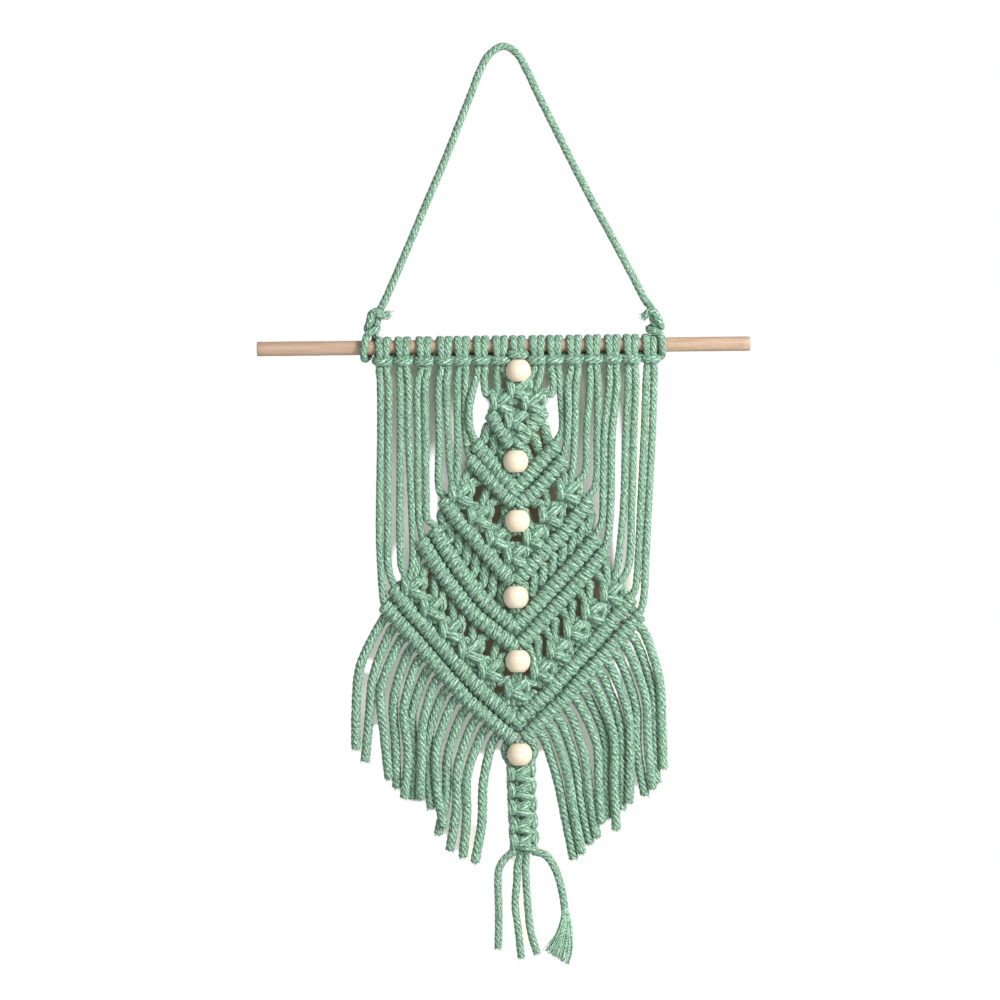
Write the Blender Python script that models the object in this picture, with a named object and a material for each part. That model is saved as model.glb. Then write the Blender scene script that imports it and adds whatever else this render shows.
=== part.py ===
"""A macrame wall hanging in cotton cord, on the wooden dowel that it is knotted to.

Metres, +Z up, and the front faces -Y. The origin is where the underside of the hanging cord
rests on its hook. The tables below are in millimetres, with x to the right and z upwards.
"""

import math
from collections import namedtuple

import bmesh
import bpy
from mathutils import Vector

MM = 0.001

# Driving sizes, in millimetres.
CORD = 4.4  # the cotton cord, hanging free
CORD_IN_KNOT = 3.5  # the same cord squeezed in a knot
CORD_IN_BEAD = 2.6  # and where two strands share a bead's hole
GAP = 0.3  # between pieces that touch
ROOM = 0.35  # what the panel is cut back from its beads and the dowel
DOWEL_LENGTH, DOWEL_DIAMETER = 300.0, 8.8
DOWEL_X, DOWEL_Z, DOWEL_CHAMFER = -2.0, -180.4, 0.6
BEAD_DIAMETER, BEAD_HEIGHT, BEAD_HOLE = 15.4, 13.4, 6.0
BAR_DIAMETER, BAR_WAIST = 8.8, 6.6  # a bar of half hitches, over a hitch and between two
KNOT_WIDTH, KNOT_HEIGHT, KNOT_DEPTH = 13.0, 12.6, 7.6
HEAD_SPREAD = 2.4  # from the middle of a lark's head to each of its strands
HEAD_BAR_DROP = 9.4  # from the dowel's axis down to the bar of a lark's head

# How far the sheet of strands stands in front of the dowel's axis, by height.
SHEET_DEPTH = ((-184.0, 6.8), (-205.0, 6.6), (-250.0, 4.8), (-300.0, 4.0), (-560.0, 4.0))

# The fifteen lark's heads, left to right.
HEAD_X = (-75.3, -63.2, -50.4, -37.9, -27.3, -15.7, -4.1, 6.5, 18.4, 29.0, 40.9, 52.4, 64.3, 75.6, 87.1)
MIDDLE_HEAD = 7
MIDDLE_HEAD_LIFT = 3.2  # the middle head's bar sits higher, over the first bead
PER_SIDE = 15  # strands on each side; place 0 is the outermost and place 14 the middle one

# Each V-shaped bar: the place of the strand it is tied over, then where each arm starts and ends.
VBar = namedtuple("VBar", "name core left_start left_end right_start right_end")
V_BARS = {
    bar.name: bar
    for bar in (
        VBar("a", 11, (-9.5, -222.7), (0.6, -239.6), (20.3, -221.2), (6.0, -239.6)),
        VBar("b1", 10, (-18.8, -241.2), (1.2, -264.6), (28.3, -242.0), (3.2, -268.6)),
        VBar("b2", 9, (-22.4, -249.6), (2.1, -275.6), (32.8, -250.2), (6.3, -276.0)),
        VBar("c", 6, (-38.6, -272.9), (0.3, -322.4), (47.7, -274.5), (5.0, -322.0)),
        VBar("d1", 5, (-45.2, -290.6), (0.9, -346.8), (52.7, -294.8), (2.5, -348.0)),
        VBar("d2", 4, (-52.3, -300.2), (3.0, -361.4), (57.7, -305.5), (7.5, -358.8)),
        VBar("e1", 1, (-69.7, -327.3), (1.9, -408.0), (73.8, -335.0), (3.0, -410.0)),
        VBar("e2", 0, (-75.3, -338.4), (0.5, -418.6), (78.6, -345.6), (9.0, -418.9)),
    )
}

# The square knots: which side's strands they tie, the outermost place of the four, and the centre.
SquareKnot = namedtuple("SquareKnot", "side place x z")
TOP_KNOTS = (
    SquareKnot("middle", 13, 6.6, -207.6),
    SquareKnot("left", 11, -3.9, -215.4),
    SquareKnot("right", 11, 15.2, -215.4),
    SquareKnot("middle", 13, 5.0, -226.6),
)
MIDDLE_ROW = (
    SquareKnot("left", 7, -29.5, -270.6),
    SquareKnot("left", 9, -18.1, -284.1),
    SquareKnot("left", 11, -7.3, -297.4),
    SquareKnot("right", 7, 36.2, -270.1),
    SquareKnot("right", 9, 25.2, -284.0),
    SquareKnot("right", 11, 15.2, -297.4),
    SquareKnot("middle", 13, 3.6, -308.2),
)
LOWER_ROW = (
    SquareKnot("left", 2, -58.7, -326.9),
    SquareKnot("left", 4, -47.3, -339.8),
    SquareKnot("left", 6, -35.9, -353.3),
    SquareKnot("left", 8, -24.5, -365.6),
    SquareKnot("left", 10, -12.4, -377.6),
    SquareKnot("right", 2, 61.7, -331.9),
    SquareKnot("right", 4, 50.3, -343.3),
    SquareKnot("right", 6, 39.5, -354.1),
    SquareKnot("right", 8, 29.0, -366.2),
    SquareKnot("right", 10, 19.0, -378.4),
    SquareKnot("middle", 13, 3.2, -389.8),
)

# Where each bead's centre is, top to bottom.
Bead = namedtuple("Bead", "name x z")
BEADS = (
    Bead("bead_1", 6.8, -195.6),
    Bead("bead_2", 4.6, -250.6),
    Bead("bead_3", 5.2, -286.8),
    Bead("bead_4", 3.8, -333.0),
    Bead("bead_5", 4.6, -371.8),
    Bead("bead_6", 5.0, -428.4),
)
BEAD_FORWARD = 2.6  # the beads' holes, in front of the sheet
PASS_ASIDE, PASS_BACK = 9.0, 2.6  # where two more strands pass the last bead, beside and behind it
SPLIT = 0.8  # the panel's strands end at the last bead's middle, and the sinnet's start this much lower

# How the strands hang below the dowel, in pairs: side, place, then points as (x, z), or as (x, z, forward)
# where one lies before or behind its neighbour.
Bow = namedtuple("Bow", "side place points")
BOWS = (
    Bow("left", 0, ((-77.0, -200.0), (-77.2, -236.0), (-78.3, -275.0), (-78.5, -302.0), (-77.0, -331.0))),
    Bow("left", 1, ((-72.3, -200.0), (-72.6, -236.0), (-73.3, -275.0), (-73.2, -316.0))),
    Bow("left", 2, ((-65.0, -200.0), (-65.3, -236.0), (-66.0, -275.0), (-66.2, -298.0), (-65.4, -314.0))),
    Bow("left", 3, ((-60.3, -200.0), (-60.3, -236.0), (-59.0, -275.0), (-58.8, -312.0))),
    Bow("left", 4, ((-54.2, -200.0), (-54.8, -236.0), (-54.8, -273.0), (-54.0, -288.0))),
    Bow("left", 5, ((-49.5, -200.0), (-50.0, -236.0), (-50.0, -273.0), (-49.6, -285.0))),
    Bow("left", 6, ((-41.4, -200.0), (-41.7, -236.0), (-41.8, -268.0))),
    Bow("left", 7, ((-36.7, -200.0), (-36.4, -230.0), (-35.1, -255.0))),
    Bow("left", 8, ((-30.1, -200.0), (-30.5, -224.0), (-30.4, -245.0))),
    Bow("left", 9, ((-25.4, -200.7), (-26.2, -219.0, -2.2), (-26.0, -228.0, -2.2), (-24.9, -240.0, -0.8))),
    Bow("left", 10, ((-18.3, -198.0), (-20.9, -206.8, 0.8), (-23.3, -219.0, 0.9), (-22.7, -231.0, 0.4))),
    Bow("left", 11, ((-14.1, -198.0), (-12.4, -210.0))),
    Bow("right", 0, ((89.1, -202.0), (87.6, -236.0), (85.2, -275.0), (82.9, -312.0), (81.5, -334.0))),
    Bow("right", 1, ((84.4, -202.0), (82.8, -236.0), (80.5, -275.0), (78.3, -312.0), (76.7, -328.0))),
    Bow("right", 2, ((78.1, -202.0), (76.4, -236.0), (74.9, -275.0), (72.2, -316.0))),
    Bow("right", 3, ((73.5, -202.0), (71.6, -236.0), (70.1, -275.0), (67.9, -299.0), (65.9, -314.0))),
    Bow("right", 4, ((66.9, -202.0), (63.3, -236.0), (62.2, -275.0), (60.3, -296.0))),
    Bow("right", 5, ((62.2, -202.0), (58.6, -236.0), (57.5, -273.0), (56.7, -287.0))),
    Bow("right", 6, ((55.2, -202.0), (54.3, -236.0), (53.0, -265.0))),
    Bow("right", 7, ((50.5, -202.0), (48.0, -230.0), (46.1, -259.0))),
    Bow("right", 8, ((42.0, -202.0), (41.0, -226.0), (39.8, -250.0))),
    Bow("right", 9, ((37.2, -202.0, 0.2), (37.0, -220.0, 0.6), (36.0, -238.0, 0.4))),
    Bow("right", 10, ((31.6, -198.0), (32.1, -207.4, -1.2), (33.1, -220.0, -2.2), (33.0, -232.0, -1.4))),
    Bow("right", 11, ((27.9, -198.0), (26.6, -210.0))),
)

# The hanging cord's centreline, left tie to right tie.
HANGING_CORD = (
    (-74.6, -153.2), (-68.5, -139.9), (-57.6, -115.1), (-46.6, -89.7), (-37.2, -68.4), (-26.3, -41.8),
    (-19.8, -26.0), (-14.4, -12.2), (-8.4, -2.4), (0.0, 2.2), (7.6, -1.8), (14.2, -13.0), (20.0, -25.8),
    (26.6, -39.4), (39.4, -65.7), (52.0, -90.8), (64.2, -113.8), (76.7, -137.9), (84.6, -153.4),
)

# Each fringe strand, outermost first: x at one and two thirds of its drop, its tip, and how far it lies back.
Lock = namedtuple("Lock", "third_x two_thirds_x tip_x tip_z back")
FRINGE = {
    "left": (
        Lock(-91.2, -94.0, -94.5, -424.0, 0.0),
        Lock(-83.4, -86.2, -88.9, -431.6, 0.6),
        Lock(-79.0, -77.2, -74.6, -442.4, 0.0),
        Lock(-71.2, -70.4, -69.8, -448.0, 1.8),
        Lock(-65.0, -62.8, -65.2, -454.0, -0.8),
        Lock(-60.2, -58.6, -60.4, -455.0, 2.4),
        Lock(-53.6, -54.8, -55.8, -455.2, -1.0),
        Lock(-49.6, -50.6, -49.2, -460.6, 2.0),
        Lock(-45.2, -45.4, -41.5, -472.2, -0.8),
        Lock(-38.6, -39.8, -45.0, -476.6, 2.6),
        Lock(-32.6, -33.8, -38.0, -486.4, 0.6),
        Lock(-27.0, -27.6, -30.1, -490.6, 1.4),
        Lock(-17.2, -18.4, -22.8, -493.8, 0.0),
    ),
    "right": (
        Lock(90.2, 91.6, 92.2, -438.0, 0.0),
        Lock(86.0, 87.2, 88.2, -447.0, 2.6),
        Lock(81.8, 83.0, 85.4, -450.2, -1.2),
        Lock(76.0, 76.6, 81.0, -454.4, 1.2),
        Lock(71.2, 72.2, 71.2, -458.6, -1.6),
        Lock(66.0, 67.2, 66.9, -462.6, 1.4),
        Lock(62.0, 62.3, 63.2, -474.8, -1.6),
        Lock(56.8, 57.4, 57.6, -468.0, 2.4),
        Lock(52.0, 52.8, 54.2, -470.6, -0.8),
        Lock(44.4, 47.4, 51.4, -479.6, 0.8),
        Lock(38.8, 42.0, 47.2, -483.4, 2.6),
        Lock(33.6, 37.6, 42.0, -489.2, -1.0),
        Lock(27.8, 32.6, 37.2, -492.6, 1.0),
    ),
}
STRIP_THICKNESS = 2.6

# The chain of square knots below the last bead, top to bottom, and the four tails it ends in.
SINNET_KNOTS = ((5.2, -443.2), (5.6, -453.2), (6.0, -463.2), (6.5, -473.2), (6.8, -483.0))
SINNET_WIDTH, SINNET_KNOT_HEIGHT = 17.0, 10.8
TAILS = (
    ((0.6, -484.0), (-4.6, -489.0), (-8.2, -496.0), (-9.0, -506.0), (-8.7, -524.0), (-9.3, -546.0)),
    ((4.6, -486.0), (3.0, -494.0), (2.4, -506.0), (1.3, -520.0), (2.8, -533.0), (4.6, -552.0)),
    ((8.4, -486.0), (7.8, -496.0), (8.2, -508.0), (9.2, -524.0), (10.4, -536.0), (14.2, -549.6)),
    ((12.6, -484.0), (19.0, -487.2), (24.4, -494.6), (28.4, -506.0), (30.8, -518.0), (31.6, -527.0)),
)
FRAYED_END = ((31.4, -524.0), (29.4, -540.0), (27.6, -555.6))  # the last tail's opened end
FRAYED_WIDTH, FRAYED_THICKNESS = 15.0, 3.0

MINT = (0.30, 0.53, 0.40, 1.0)
BEECH = (0.72, 0.50, 0.33, 1.0)
PALE_WOOD = (0.86, 0.72, 0.55, 1.0)
CORD_SIDES, LOCK_SIDES = 4, 4
MOST_FACES = {"macrame": 9900, "sinnet": 1300, "fringe": 960, "tie": 360}


def clear_scene():
    for old in list(bpy.data.objects):
        bpy.data.objects.remove(old, do_unlink=True)


def finish_of(name, colour, roughness):
    material = bpy.data.materials.new(name)
    material.use_nodes = True
    shader = material.node_tree.nodes["Principled BSDF"]
    shader.inputs["Base Color"].default_value = colour
    shader.inputs["Roughness"].default_value = roughness
    shader.inputs["Metallic"].default_value = 0.0
    return material


def sheet_depth(z):
    """How far in front of the dowel's axis the strands hang at the height z."""
    if z >= SHEET_DEPTH[0][0]:
        return SHEET_DEPTH[0][1]
    for (high, near), (low, far) in zip(SHEET_DEPTH, SHEET_DEPTH[1:]):
        if z >= low:
            return near + (far - near) * (high - z) / (high - low)
    return SHEET_DEPTH[-1][1]


def at(x, z, forward=0.0):
    """A place in the sheet of strands, in millimetres."""
    return Vector((x, -sheet_depth(z) - forward, z))


def smooth_path(points, steps):
    """Points along a Catmull-Rom curve through the given ones, with this many steps between two."""
    ends = [points[0] * 2 - points[1], *points, points[-1] * 2 - points[-2]]
    path = []
    for before, start, end, after in zip(ends, ends[1:], ends[2:], ends[3:]):
        for step in range(steps):
            t = step / steps
            path.append(
                0.5 * (2 * start + (end - before) * t
                       + (2 * before - 5 * start + 4 * end - after) * t * t
                       + (3 * start - before - 3 * end + after) * t ** 3)
            )
    return [*path, points[-1].copy()]


class Shells:
    """Closed shapes that are gathered in one mesh and fused afterwards."""

    def __init__(self):
        self.mesh = bmesh.new()
        self.ridges = []

    def rod(self, path, radii, sides=CORD_SIDES, flat=1.0, facing=Vector((0, 1, 0)), ridged=False):
        """A rod along the path, with a round one's area. radii is one radius or one for each point, and
        flat squeezes it along facing.
        A ridged rod's points are kept when small faces are merged."""
        if not isinstance(radii, (list, tuple)):
            radii = [radii] * len(path)
        rings = []
        across = None
        same_area = math.sqrt(2 * math.pi / (sides * math.sin(2 * math.pi / sides)))
        for i, (centre, radius) in enumerate(zip(path, radii)):
            along = (path[min(i + 1, len(path) - 1)] - path[max(i - 1, 0)]).normalized()
            if across is None:
                across = along.cross(facing if abs(along.dot(facing)) < 0.9 else Vector((0, 0, 1)))
            across = (across - along * across.dot(along)).normalized()
            through = across.cross(along)
            ring = []
            for side in range(sides):
                angle = 2 * math.pi * (side + 0.5) / sides
                offset = across * math.cos(angle) + through * math.sin(angle) * flat
                ring.append(self.mesh.verts.new((centre + offset * radius * same_area) * MM))
            rings.append(ring)
            if ridged:
                self.ridges += [point.co.copy() for point in ring]
        for ring, following in zip(rings, rings[1:]):
            for side in range(sides):
                after = (side + 1) % sides
                self.mesh.faces.new((ring[side], ring[after], following[after], following[side]))
        self.mesh.faces.new(list(reversed(rings[0])))
        self.mesh.faces.new(rings[-1])

    def object(self, name, finish, hidden=False):
        bmesh.ops.recalc_face_normals(self.mesh, faces=self.mesh.faces)
        mesh = bpy.data.meshes.new(name)
        self.mesh.to_mesh(mesh)
        self.mesh.free()
        return place_mesh(name, mesh, finish, hidden)


def place_mesh(name, mesh, finish, hidden=False):
    made = bpy.data.objects.new(name, mesh)
    bpy.context.scene.collection.objects.link(made)
    made.data.materials.append(finish)
    if hidden:
        made.hide_render = True
        made.display_type = "WIRE"
    return made


def fuse(name, first, second, finish, most_faces, rooms=()):
    """Fuses two gatherings of shapes, merges small faces, and cuts the room of what they hold."""
    ridges = {spot(point) for point in first.ridges}
    body = first.object(name, finish)
    other = second.object(name + "_strands", finish, hidden=True)
    union = body.modifiers.new("fuse", "BOOLEAN")
    union.operation, union.solver, union.use_self = "UNION", "EXACT", True
    union.object = other
    keep_outer_skin(body)
    bpy.data.objects.remove(other)
    if len(body.data.polygons) > most_faces:
        fewer = body.modifiers.new("merge small faces", "DECIMATE")
        fewer.ratio = most_faces / len(body.data.polygons)
        if ridges:
            plain = body.vertex_groups.new(name="plain")
            plain.add([v.index for v in body.data.vertices if spot(v.co) not in ridges], 1.0, "REPLACE")
            fewer.vertex_group = "plain"
            fewer.vertex_group_factor = 2.0
    for room in rooms:
        cut = body.modifiers.new("room", "BOOLEAN")
        cut.operation, cut.solver, cut.object = "DIFFERENCE", "MANIFOLD", room
    if rooms:
        keep_outer_skin(body)
    return body


def spot(point):
    """The point to a thousandth of a millimetre, to find it again in another mesh."""
    return tuple(round(value / MM, 3) for value in point)


def keep_outer_skin(body):
    """Applies the Booleans, then deletes the skins of the hollows that strands close in between them."""
    graph = bpy.context.evaluated_depsgraph_get()
    mesh = bpy.data.meshes.new_from_object(body.evaluated_get(graph))
    body.modifiers.clear()
    body.data = mesh
    skin = bmesh.new()
    skin.from_mesh(mesh)
    bmesh.ops.triangulate(skin, faces=skin.faces)
    unseen = set(skin.verts)
    islands = []
    while unseen:
        island, edge = set(), [unseen.pop()]
        while edge:
            vert = edge.pop()
            island.add(vert)
            for link in vert.link_edges:
                other = link.other_vert(vert)
                if other in unseen:
                    unseen.remove(other)
                    edge.append(other)
        islands.append(island)
    outer = max(islands, key=len)
    bmesh.ops.delete(skin, geom=[v for v in skin.verts if v not in outer], context="VERTS")
    skin.to_mesh(mesh)
    skin.free()


def behind_beads(path):
    """The path, led round the back of any bead that it would touch."""
    reach = BEAD_DIAMETER / 2 + CORD / 2 + 2 * GAP
    led = [path[0]]
    for start, end in zip(path, path[1:]):
        for bead_place in BEADS:
            centre = at(bead_place.x, bead_place.z, BEAD_FORWARD)
            span = end - start
            share = (centre - start).dot(span) / span.length_squared
            if 0 < share < 1:
                off = start + span * share - centre
                if off.length < reach:
                    off.y = max(off.y, 0.6 * reach)
                    led.append(centre + off.normalized() * reach)
        led.append(end)
    return led


class Strands:
    """Follows the thirty strands downwards: where each one lies, and where it last left a knot."""

    def __init__(self, strands):
        self.shells = strands
        self.places = {side: list(range(PER_SIDE)) for side in ("left", "right")}
        self.left_at = {}
        self.falls = {}
        self.threaded = {}

    def strand(self, side, place):
        return side, self.places[side][place]

    def arrive(self, strand, point):
        """Runs the strand from where it last left a knot to this point."""
        beads = self.threaded.pop(strand, [])
        if strand not in self.left_at:
            self.falls[strand] = [*beads, point]
            return
        path = [self.left_at[strand], *beads, point]
        if beads:
            self.shells.rod(path, CORD_IN_BEAD / 2)
        else:
            self.shells.rod(behind_beads(path), CORD / 2)

    def leave(self, strand, point):
        self.left_at[strand] = point


def wrap_places(bar, side, count):
    """The middles of the hitches along one arm of a V-shaped bar."""
    start, end = (getattr(bar, f"{side}_{what}") for what in ("start", "end"))
    start, end = at(*start, 0.8), at(*end, 0.8)
    return [start.lerp(end, (2 * hitch + 0.5) / (2 * count - 1)) for hitch in range(count)]


def tie_bar(knots, strands, bar):
    """Ties every strand from the bar's core inwards over the core, which then joins the middle."""
    for side in ("left", "right"):
        core = strands.strand(side, bar.core)
        hitched = [(side, strand) for strand in strands.places[side][bar.core + 1:]]
        middles = wrap_places(bar, side, len(hitched))
        along = (middles[-1] - middles[0]).normalized()
        half_hitch = (middles[1] - middles[0]).length / 2
        path, radii = [], []
        for middle in middles:
            for shift, diameter in ((-1.0, BAR_WAIST), (0.0, BAR_DIAMETER)):
                path.append(middle + along * half_hitch * shift)
                radii.append(diameter / 2)
        path.append(middles[-1] + along * half_hitch)
        radii.append(BAR_WAIST / 2)
        knots.rod(path, radii, sides=6, ridged=True)
        below = Vector((-abs(along.z) if side == "left" else abs(along.z), 0, -abs(along.x)))
        for strand, middle in zip(hitched, middles):
            edge = below * (BAR_DIAMETER / 2 - 1.0)
            strands.arrive(strand, middle - edge + Vector((0, 1.2, 0)))
            strands.leave(strand, middle + edge + Vector((0, 1.2, 0)))
        strands.arrive(core, path[0] + along)
        strands.leave(core, path[-1] - along)
        strands.places[side].append(strands.places[side].pop(bar.core))


def tie_square_knot(knots, strands, knot, width=KNOT_WIDTH, height=KNOT_HEIGHT):
    """A square knot, with the four strands that it ties."""
    if knot.side == "middle":
        four = [strands.strand("left", 13), strands.strand("left", 14),
                strands.strand("right", 14), strands.strand("right", 13)]
    else:
        four = [strands.strand(knot.side, knot.place + i) for i in range(4)]
        if knot.side == "right":
            four.reverse()
    centre = at(knot.x, knot.z, 0.4)
    square_knot_shape(knots, centre, width, height)
    for strand, aside in zip(four, (-0.36, -0.13, 0.13, 0.36)):
        strands.arrive(strand, centre + Vector((aside * width, 0.4, 0.3 * height)))
        strands.leave(strand, centre + Vector((aside * width, 0.4, -0.3 * height)))


def square_knot_shape(knots, centre, width, height):
    """A square knot's front: an upright loop on its left and two leaves that spread to the right."""
    def place(u, v, forward):
        return centre + Vector((u * width / 2, -forward * KNOT_DEPTH / 2, v * height / 2))

    cord = CORD_IN_KNOT / 2
    knots.rod([place(0, 0.95, 0), place(0, -0.95, 0)], width * 0.42, sides=6, flat=0.7, ridged=True)
    for path in (
        [place(-0.72, 0.95, 0), place(-0.68, 0.2, 0.85), place(-0.74, -0.65, 0)],
        [place(-0.27, 0.3, 0.5), place(0.3, 0.55, 0.9), place(0.8, 0.74, 0.3)],
        [place(-0.27, -0.25, 0.5), place(0.35, -0.5, 0.9), place(0.95, -0.78, 0.3)],
    ):
        knots.rod(path, [cord, cord * 1.3, cord * 1.1], sides=5, ridged=True)


def thread_bead(strands, bead):
    """The two middle strands go side by side through the bead."""
    for side, aside in (("left", -1), ("right", 1)):
        through = aside * (CORD_IN_BEAD / 2 - 0.1)
        centre = at(bead.x + through, bead.z, BEAD_FORWARD)
        reach = Vector((0, 0, BEAD_HEIGHT / 2 + 0.6))
        strand = strands.strand(side, PER_SIDE - 1)
        strands.threaded.setdefault(strand, []).extend([centre + reach, centre - reach])


def last_bead_strands(up):
    """Where the middle four strands pass the last bead, two in its hole and two beside it, this far above
    its middle or below."""
    last = BEADS[-1]
    reach = math.copysign(BEAD_HEIGHT / 2 + 0.6, up)
    for side, outwards in (("left", -1), ("right", 1)):
        inside = [at(last.x + outwards * 1.2, last.z + rise, BEAD_FORWARD) for rise in (reach, up)]
        beside = [at(last.x + outwards * PASS_ASIDE, last.z + rise, -PASS_BACK) for rise in (reach * 0.5, up)]
        yield side, inside, beside


def pass_last_bead(cords, strands):
    for side, inside, beside in last_bead_strands(0.01):
        core, other = strands.strand(side, PER_SIDE - 1), strands.strand(side, PER_SIDE - 2)
        cords.rod([strands.left_at[core], *inside], CORD_IN_BEAD / 2)
        cords.rod([strands.left_at[other], *beside], CORD / 2)


def hang_on_dowel(loops, strands):
    """One lark's head and its two falls for each doubled cord, as one run of cord."""
    bows = {(bow.side, bow.place): [at(*point) for point in bow.points] for bow in BOWS}
    step = 45
    cord = CORD_IN_KNOT / 2
    reach = (DOWEL_DIAMETER / 2 + GAP + cord + 0.8) / math.cos(math.radians(step / 2))
    for head, x in enumerate(HEAD_X):
        halves = []
        for aside in (-1, 1):
            index = 2 * head + (aside > 0)
            strand = ("left", index) if index < PER_SIDE else ("right", 2 * PER_SIDE - 1 - index)
            fall = [*bows.get(strand, []), *strands.falls[strand]]
            top = [Vector((x + aside * HEAD_SPREAD, -reach, DOWEL_Z + up)) for up in (0.0, -14.0)]
            beaded = head == MIDDLE_HEAD
            if beaded:
                top = top[:1]
            loop = []
            for turn in range(step, 226, step):
                angle = math.radians(turn)
                out = HEAD_SPREAD + 1.2 * turn / 225
                loop.append(Vector((x + aside * out, -reach * math.cos(angle),
                                    DOWEL_Z + reach * math.sin(angle))))
            drop = HEAD_BAR_DROP - (MIDDLE_HEAD_LIFT if beaded else 0.0)
            under = [Vector((x + aside * 3.8, -2.0, DOWEL_Z - min(drop, reach + 2.4))),
                     Vector((x + aside * 3.9, -reach - 1.7, DOWEL_Z - drop)),
                     Vector((x + aside * 2.3, -reach - 2.7, DOWEL_Z - drop))]
            if not beaded:
                fall = behind_beads([top[-1], *fall])[1:]
            down = fall[::-1] + top[::-1]
            thin = [(CORD_IN_BEAD if beaded else CORD) / 2] * len(fall)
            radii = thin + [cord] * (len(down) - len(fall) + len(loop)) + [CORD_IN_KNOT / 2] * len(under)
            halves.append((down + loop + under, radii))
        path = halves[0][0] + halves[1][0][::-1]
        radii = halves[0][1] + halves[1][1][::-1]
        loops.rod(path, radii)


def panel(finish):
    knots, cords = Shells(), Shells()
    strands = Strands(cords)
    thread_bead(strands, BEADS[0])
    for knot in TOP_KNOTS:
        tie_square_knot(knots, strands, knot)
    tie_bar(knots, strands, V_BARS["a"])
    thread_bead(strands, BEADS[1])
    tie_bar(knots, strands, V_BARS["b1"])
    tie_bar(knots, strands, V_BARS["b2"])
    thread_bead(strands, BEADS[2])
    for knot in MIDDLE_ROW:
        tie_square_knot(knots, strands, knot)
    tie_bar(knots, strands, V_BARS["c"])
    thread_bead(strands, BEADS[3])
    tie_bar(knots, strands, V_BARS["d1"])
    tie_bar(knots, strands, V_BARS["d2"])
    thread_bead(strands, BEADS[4])
    for knot in LOWER_ROW:
        tie_square_knot(knots, strands, knot)
    tie_bar(knots, strands, V_BARS["e1"])
    tie_bar(knots, strands, V_BARS["e2"])
    pass_last_bead(cords, strands)
    hang_on_dowel(cords, strands)
    rooms = [dowel(finish, ROOM)] + [bead(place, finish, ROOM) for place in BEADS]
    return fuse("macrame", knots, cords, finish, MOST_FACES["macrame"], rooms)


def turned(name, profile, steps, finish, hole=False, hidden=False):
    """A body turned about Z from (radius, height) pairs that run from the top down its outer side."""
    shape = bmesh.new()
    rings = []
    for radius, height in profile:
        ring = []
        for step in range(steps):
            angle = 2 * math.pi * step / steps
            point = Vector((radius * math.cos(angle), radius * math.sin(angle), height))
            ring.append(shape.verts.new(point * MM))
        rings.append(ring)
    pairs = list(zip(rings, rings[1:]))
    if hole:
        pairs.append((rings[-1], rings[0]))
    for ring, following in pairs:
        for step in range(steps):
            after = (step + 1) % steps
            shape.faces.new((ring[step], following[step], following[after], ring[after]))
    if not hole:
        shape.faces.new(rings[0])
        shape.faces.new(list(reversed(rings[-1])))
    mesh = bpy.data.meshes.new(name)
    shape.to_mesh(mesh)
    shape.free()
    mesh.shade_smooth()
    mesh.set_sharp_from_angle(angle=math.radians(40))
    return place_mesh(name, mesh, finish, hidden)


def dowel(finish, room=0.0):
    """The dowel, or with some room the cutter that keeps the cords off it."""
    radius, half = DOWEL_DIAMETER / 2 + room, DOWEL_LENGTH / 2 + room
    profile = [(radius - DOWEL_CHAMFER, half), (radius, half - DOWEL_CHAMFER),
               (radius, DOWEL_CHAMFER - half), (radius - DOWEL_CHAMFER, -half)]
    made = turned("dowel_room" if room else "dowel", profile, 20, finish, hidden=room > 0)
    made.rotation_euler = (0, math.pi / 2, 0)
    made.location = Vector((DOWEL_X, 0, DOWEL_Z)) * MM
    return made


def bead(place, finish, room=0.0):
    """A round bead, a little flattened at the two ends of its hole, or the cutter of its room."""
    radius, half, hole = BEAD_DIAMETER / 2, BEAD_HEIGHT / 2, BEAD_HOLE / 2
    rounds = 6
    first = math.asin((hole + 0.8) / radius)
    profile = [(hole - room, half + room)]
    for i in range(rounds + 1):
        angle = first + (math.pi - 2 * first) * i / rounds
        out, up = radius * math.sin(angle), half * math.cos(angle) / math.cos(first)
        profile.append((out + room * math.sin(angle), up + room * math.cos(angle)))
    profile.append((hole - room, -half - room))
    name = place.name + "_room" if room else place.name
    made = turned(name, profile, 12, finish, hole=True, hidden=room > 0)
    made.location = at(place.x, place.z, BEAD_FORWARD) * MM
    return made


def fringe(side, finish):
    """The strands that hang from one arm of the last bar, rooted in a narrow strip behind its lower edge."""
    strip, locks = Shells(), Shells()
    bar = V_BARS["e2"]
    outwards = -1 if side == "left" else 1
    middles = wrap_places(bar, side, PER_SIDE - 1)
    along = (middles[-1] - middles[0]).normalized()
    below = along.cross(Vector((0, 1, 0))).normalized()
    if below.z > 0:
        below = -below
    away = below * (BAR_DIAMETER / 2 + GAP + STRIP_THICKNESS / 2) + Vector((0, 1.2, 0))
    roots = [middle + away for middle in middles[:len(FRINGE[side])]]
    strip.rod([roots[0] - along * 1.5, roots[-1] + along * 1.5], STRIP_THICKNESS / 2, sides=6)
    for root, lock in zip(roots, FRINGE[side]):
        back = Vector((0, lock.back, 0))
        bend = root + below * 4.5 + Vector((outwards * 0.8, 0, -1.5)) + back
        drop = bend.z - lock.tip_z
        points = [root, bend]
        for x, share in ((lock.third_x, 1 / 3), (lock.two_thirds_x, 2 / 3), (lock.tip_x, 1)):
            points.append(Vector((x, root.y, bend.z - share * drop)) + back)
        locks.rod(smooth_path(points, 2), CORD / 2, sides=LOCK_SIDES)
    return fuse("fringe_" + side, strip, locks, finish, MOST_FACES["fringe"])


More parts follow.
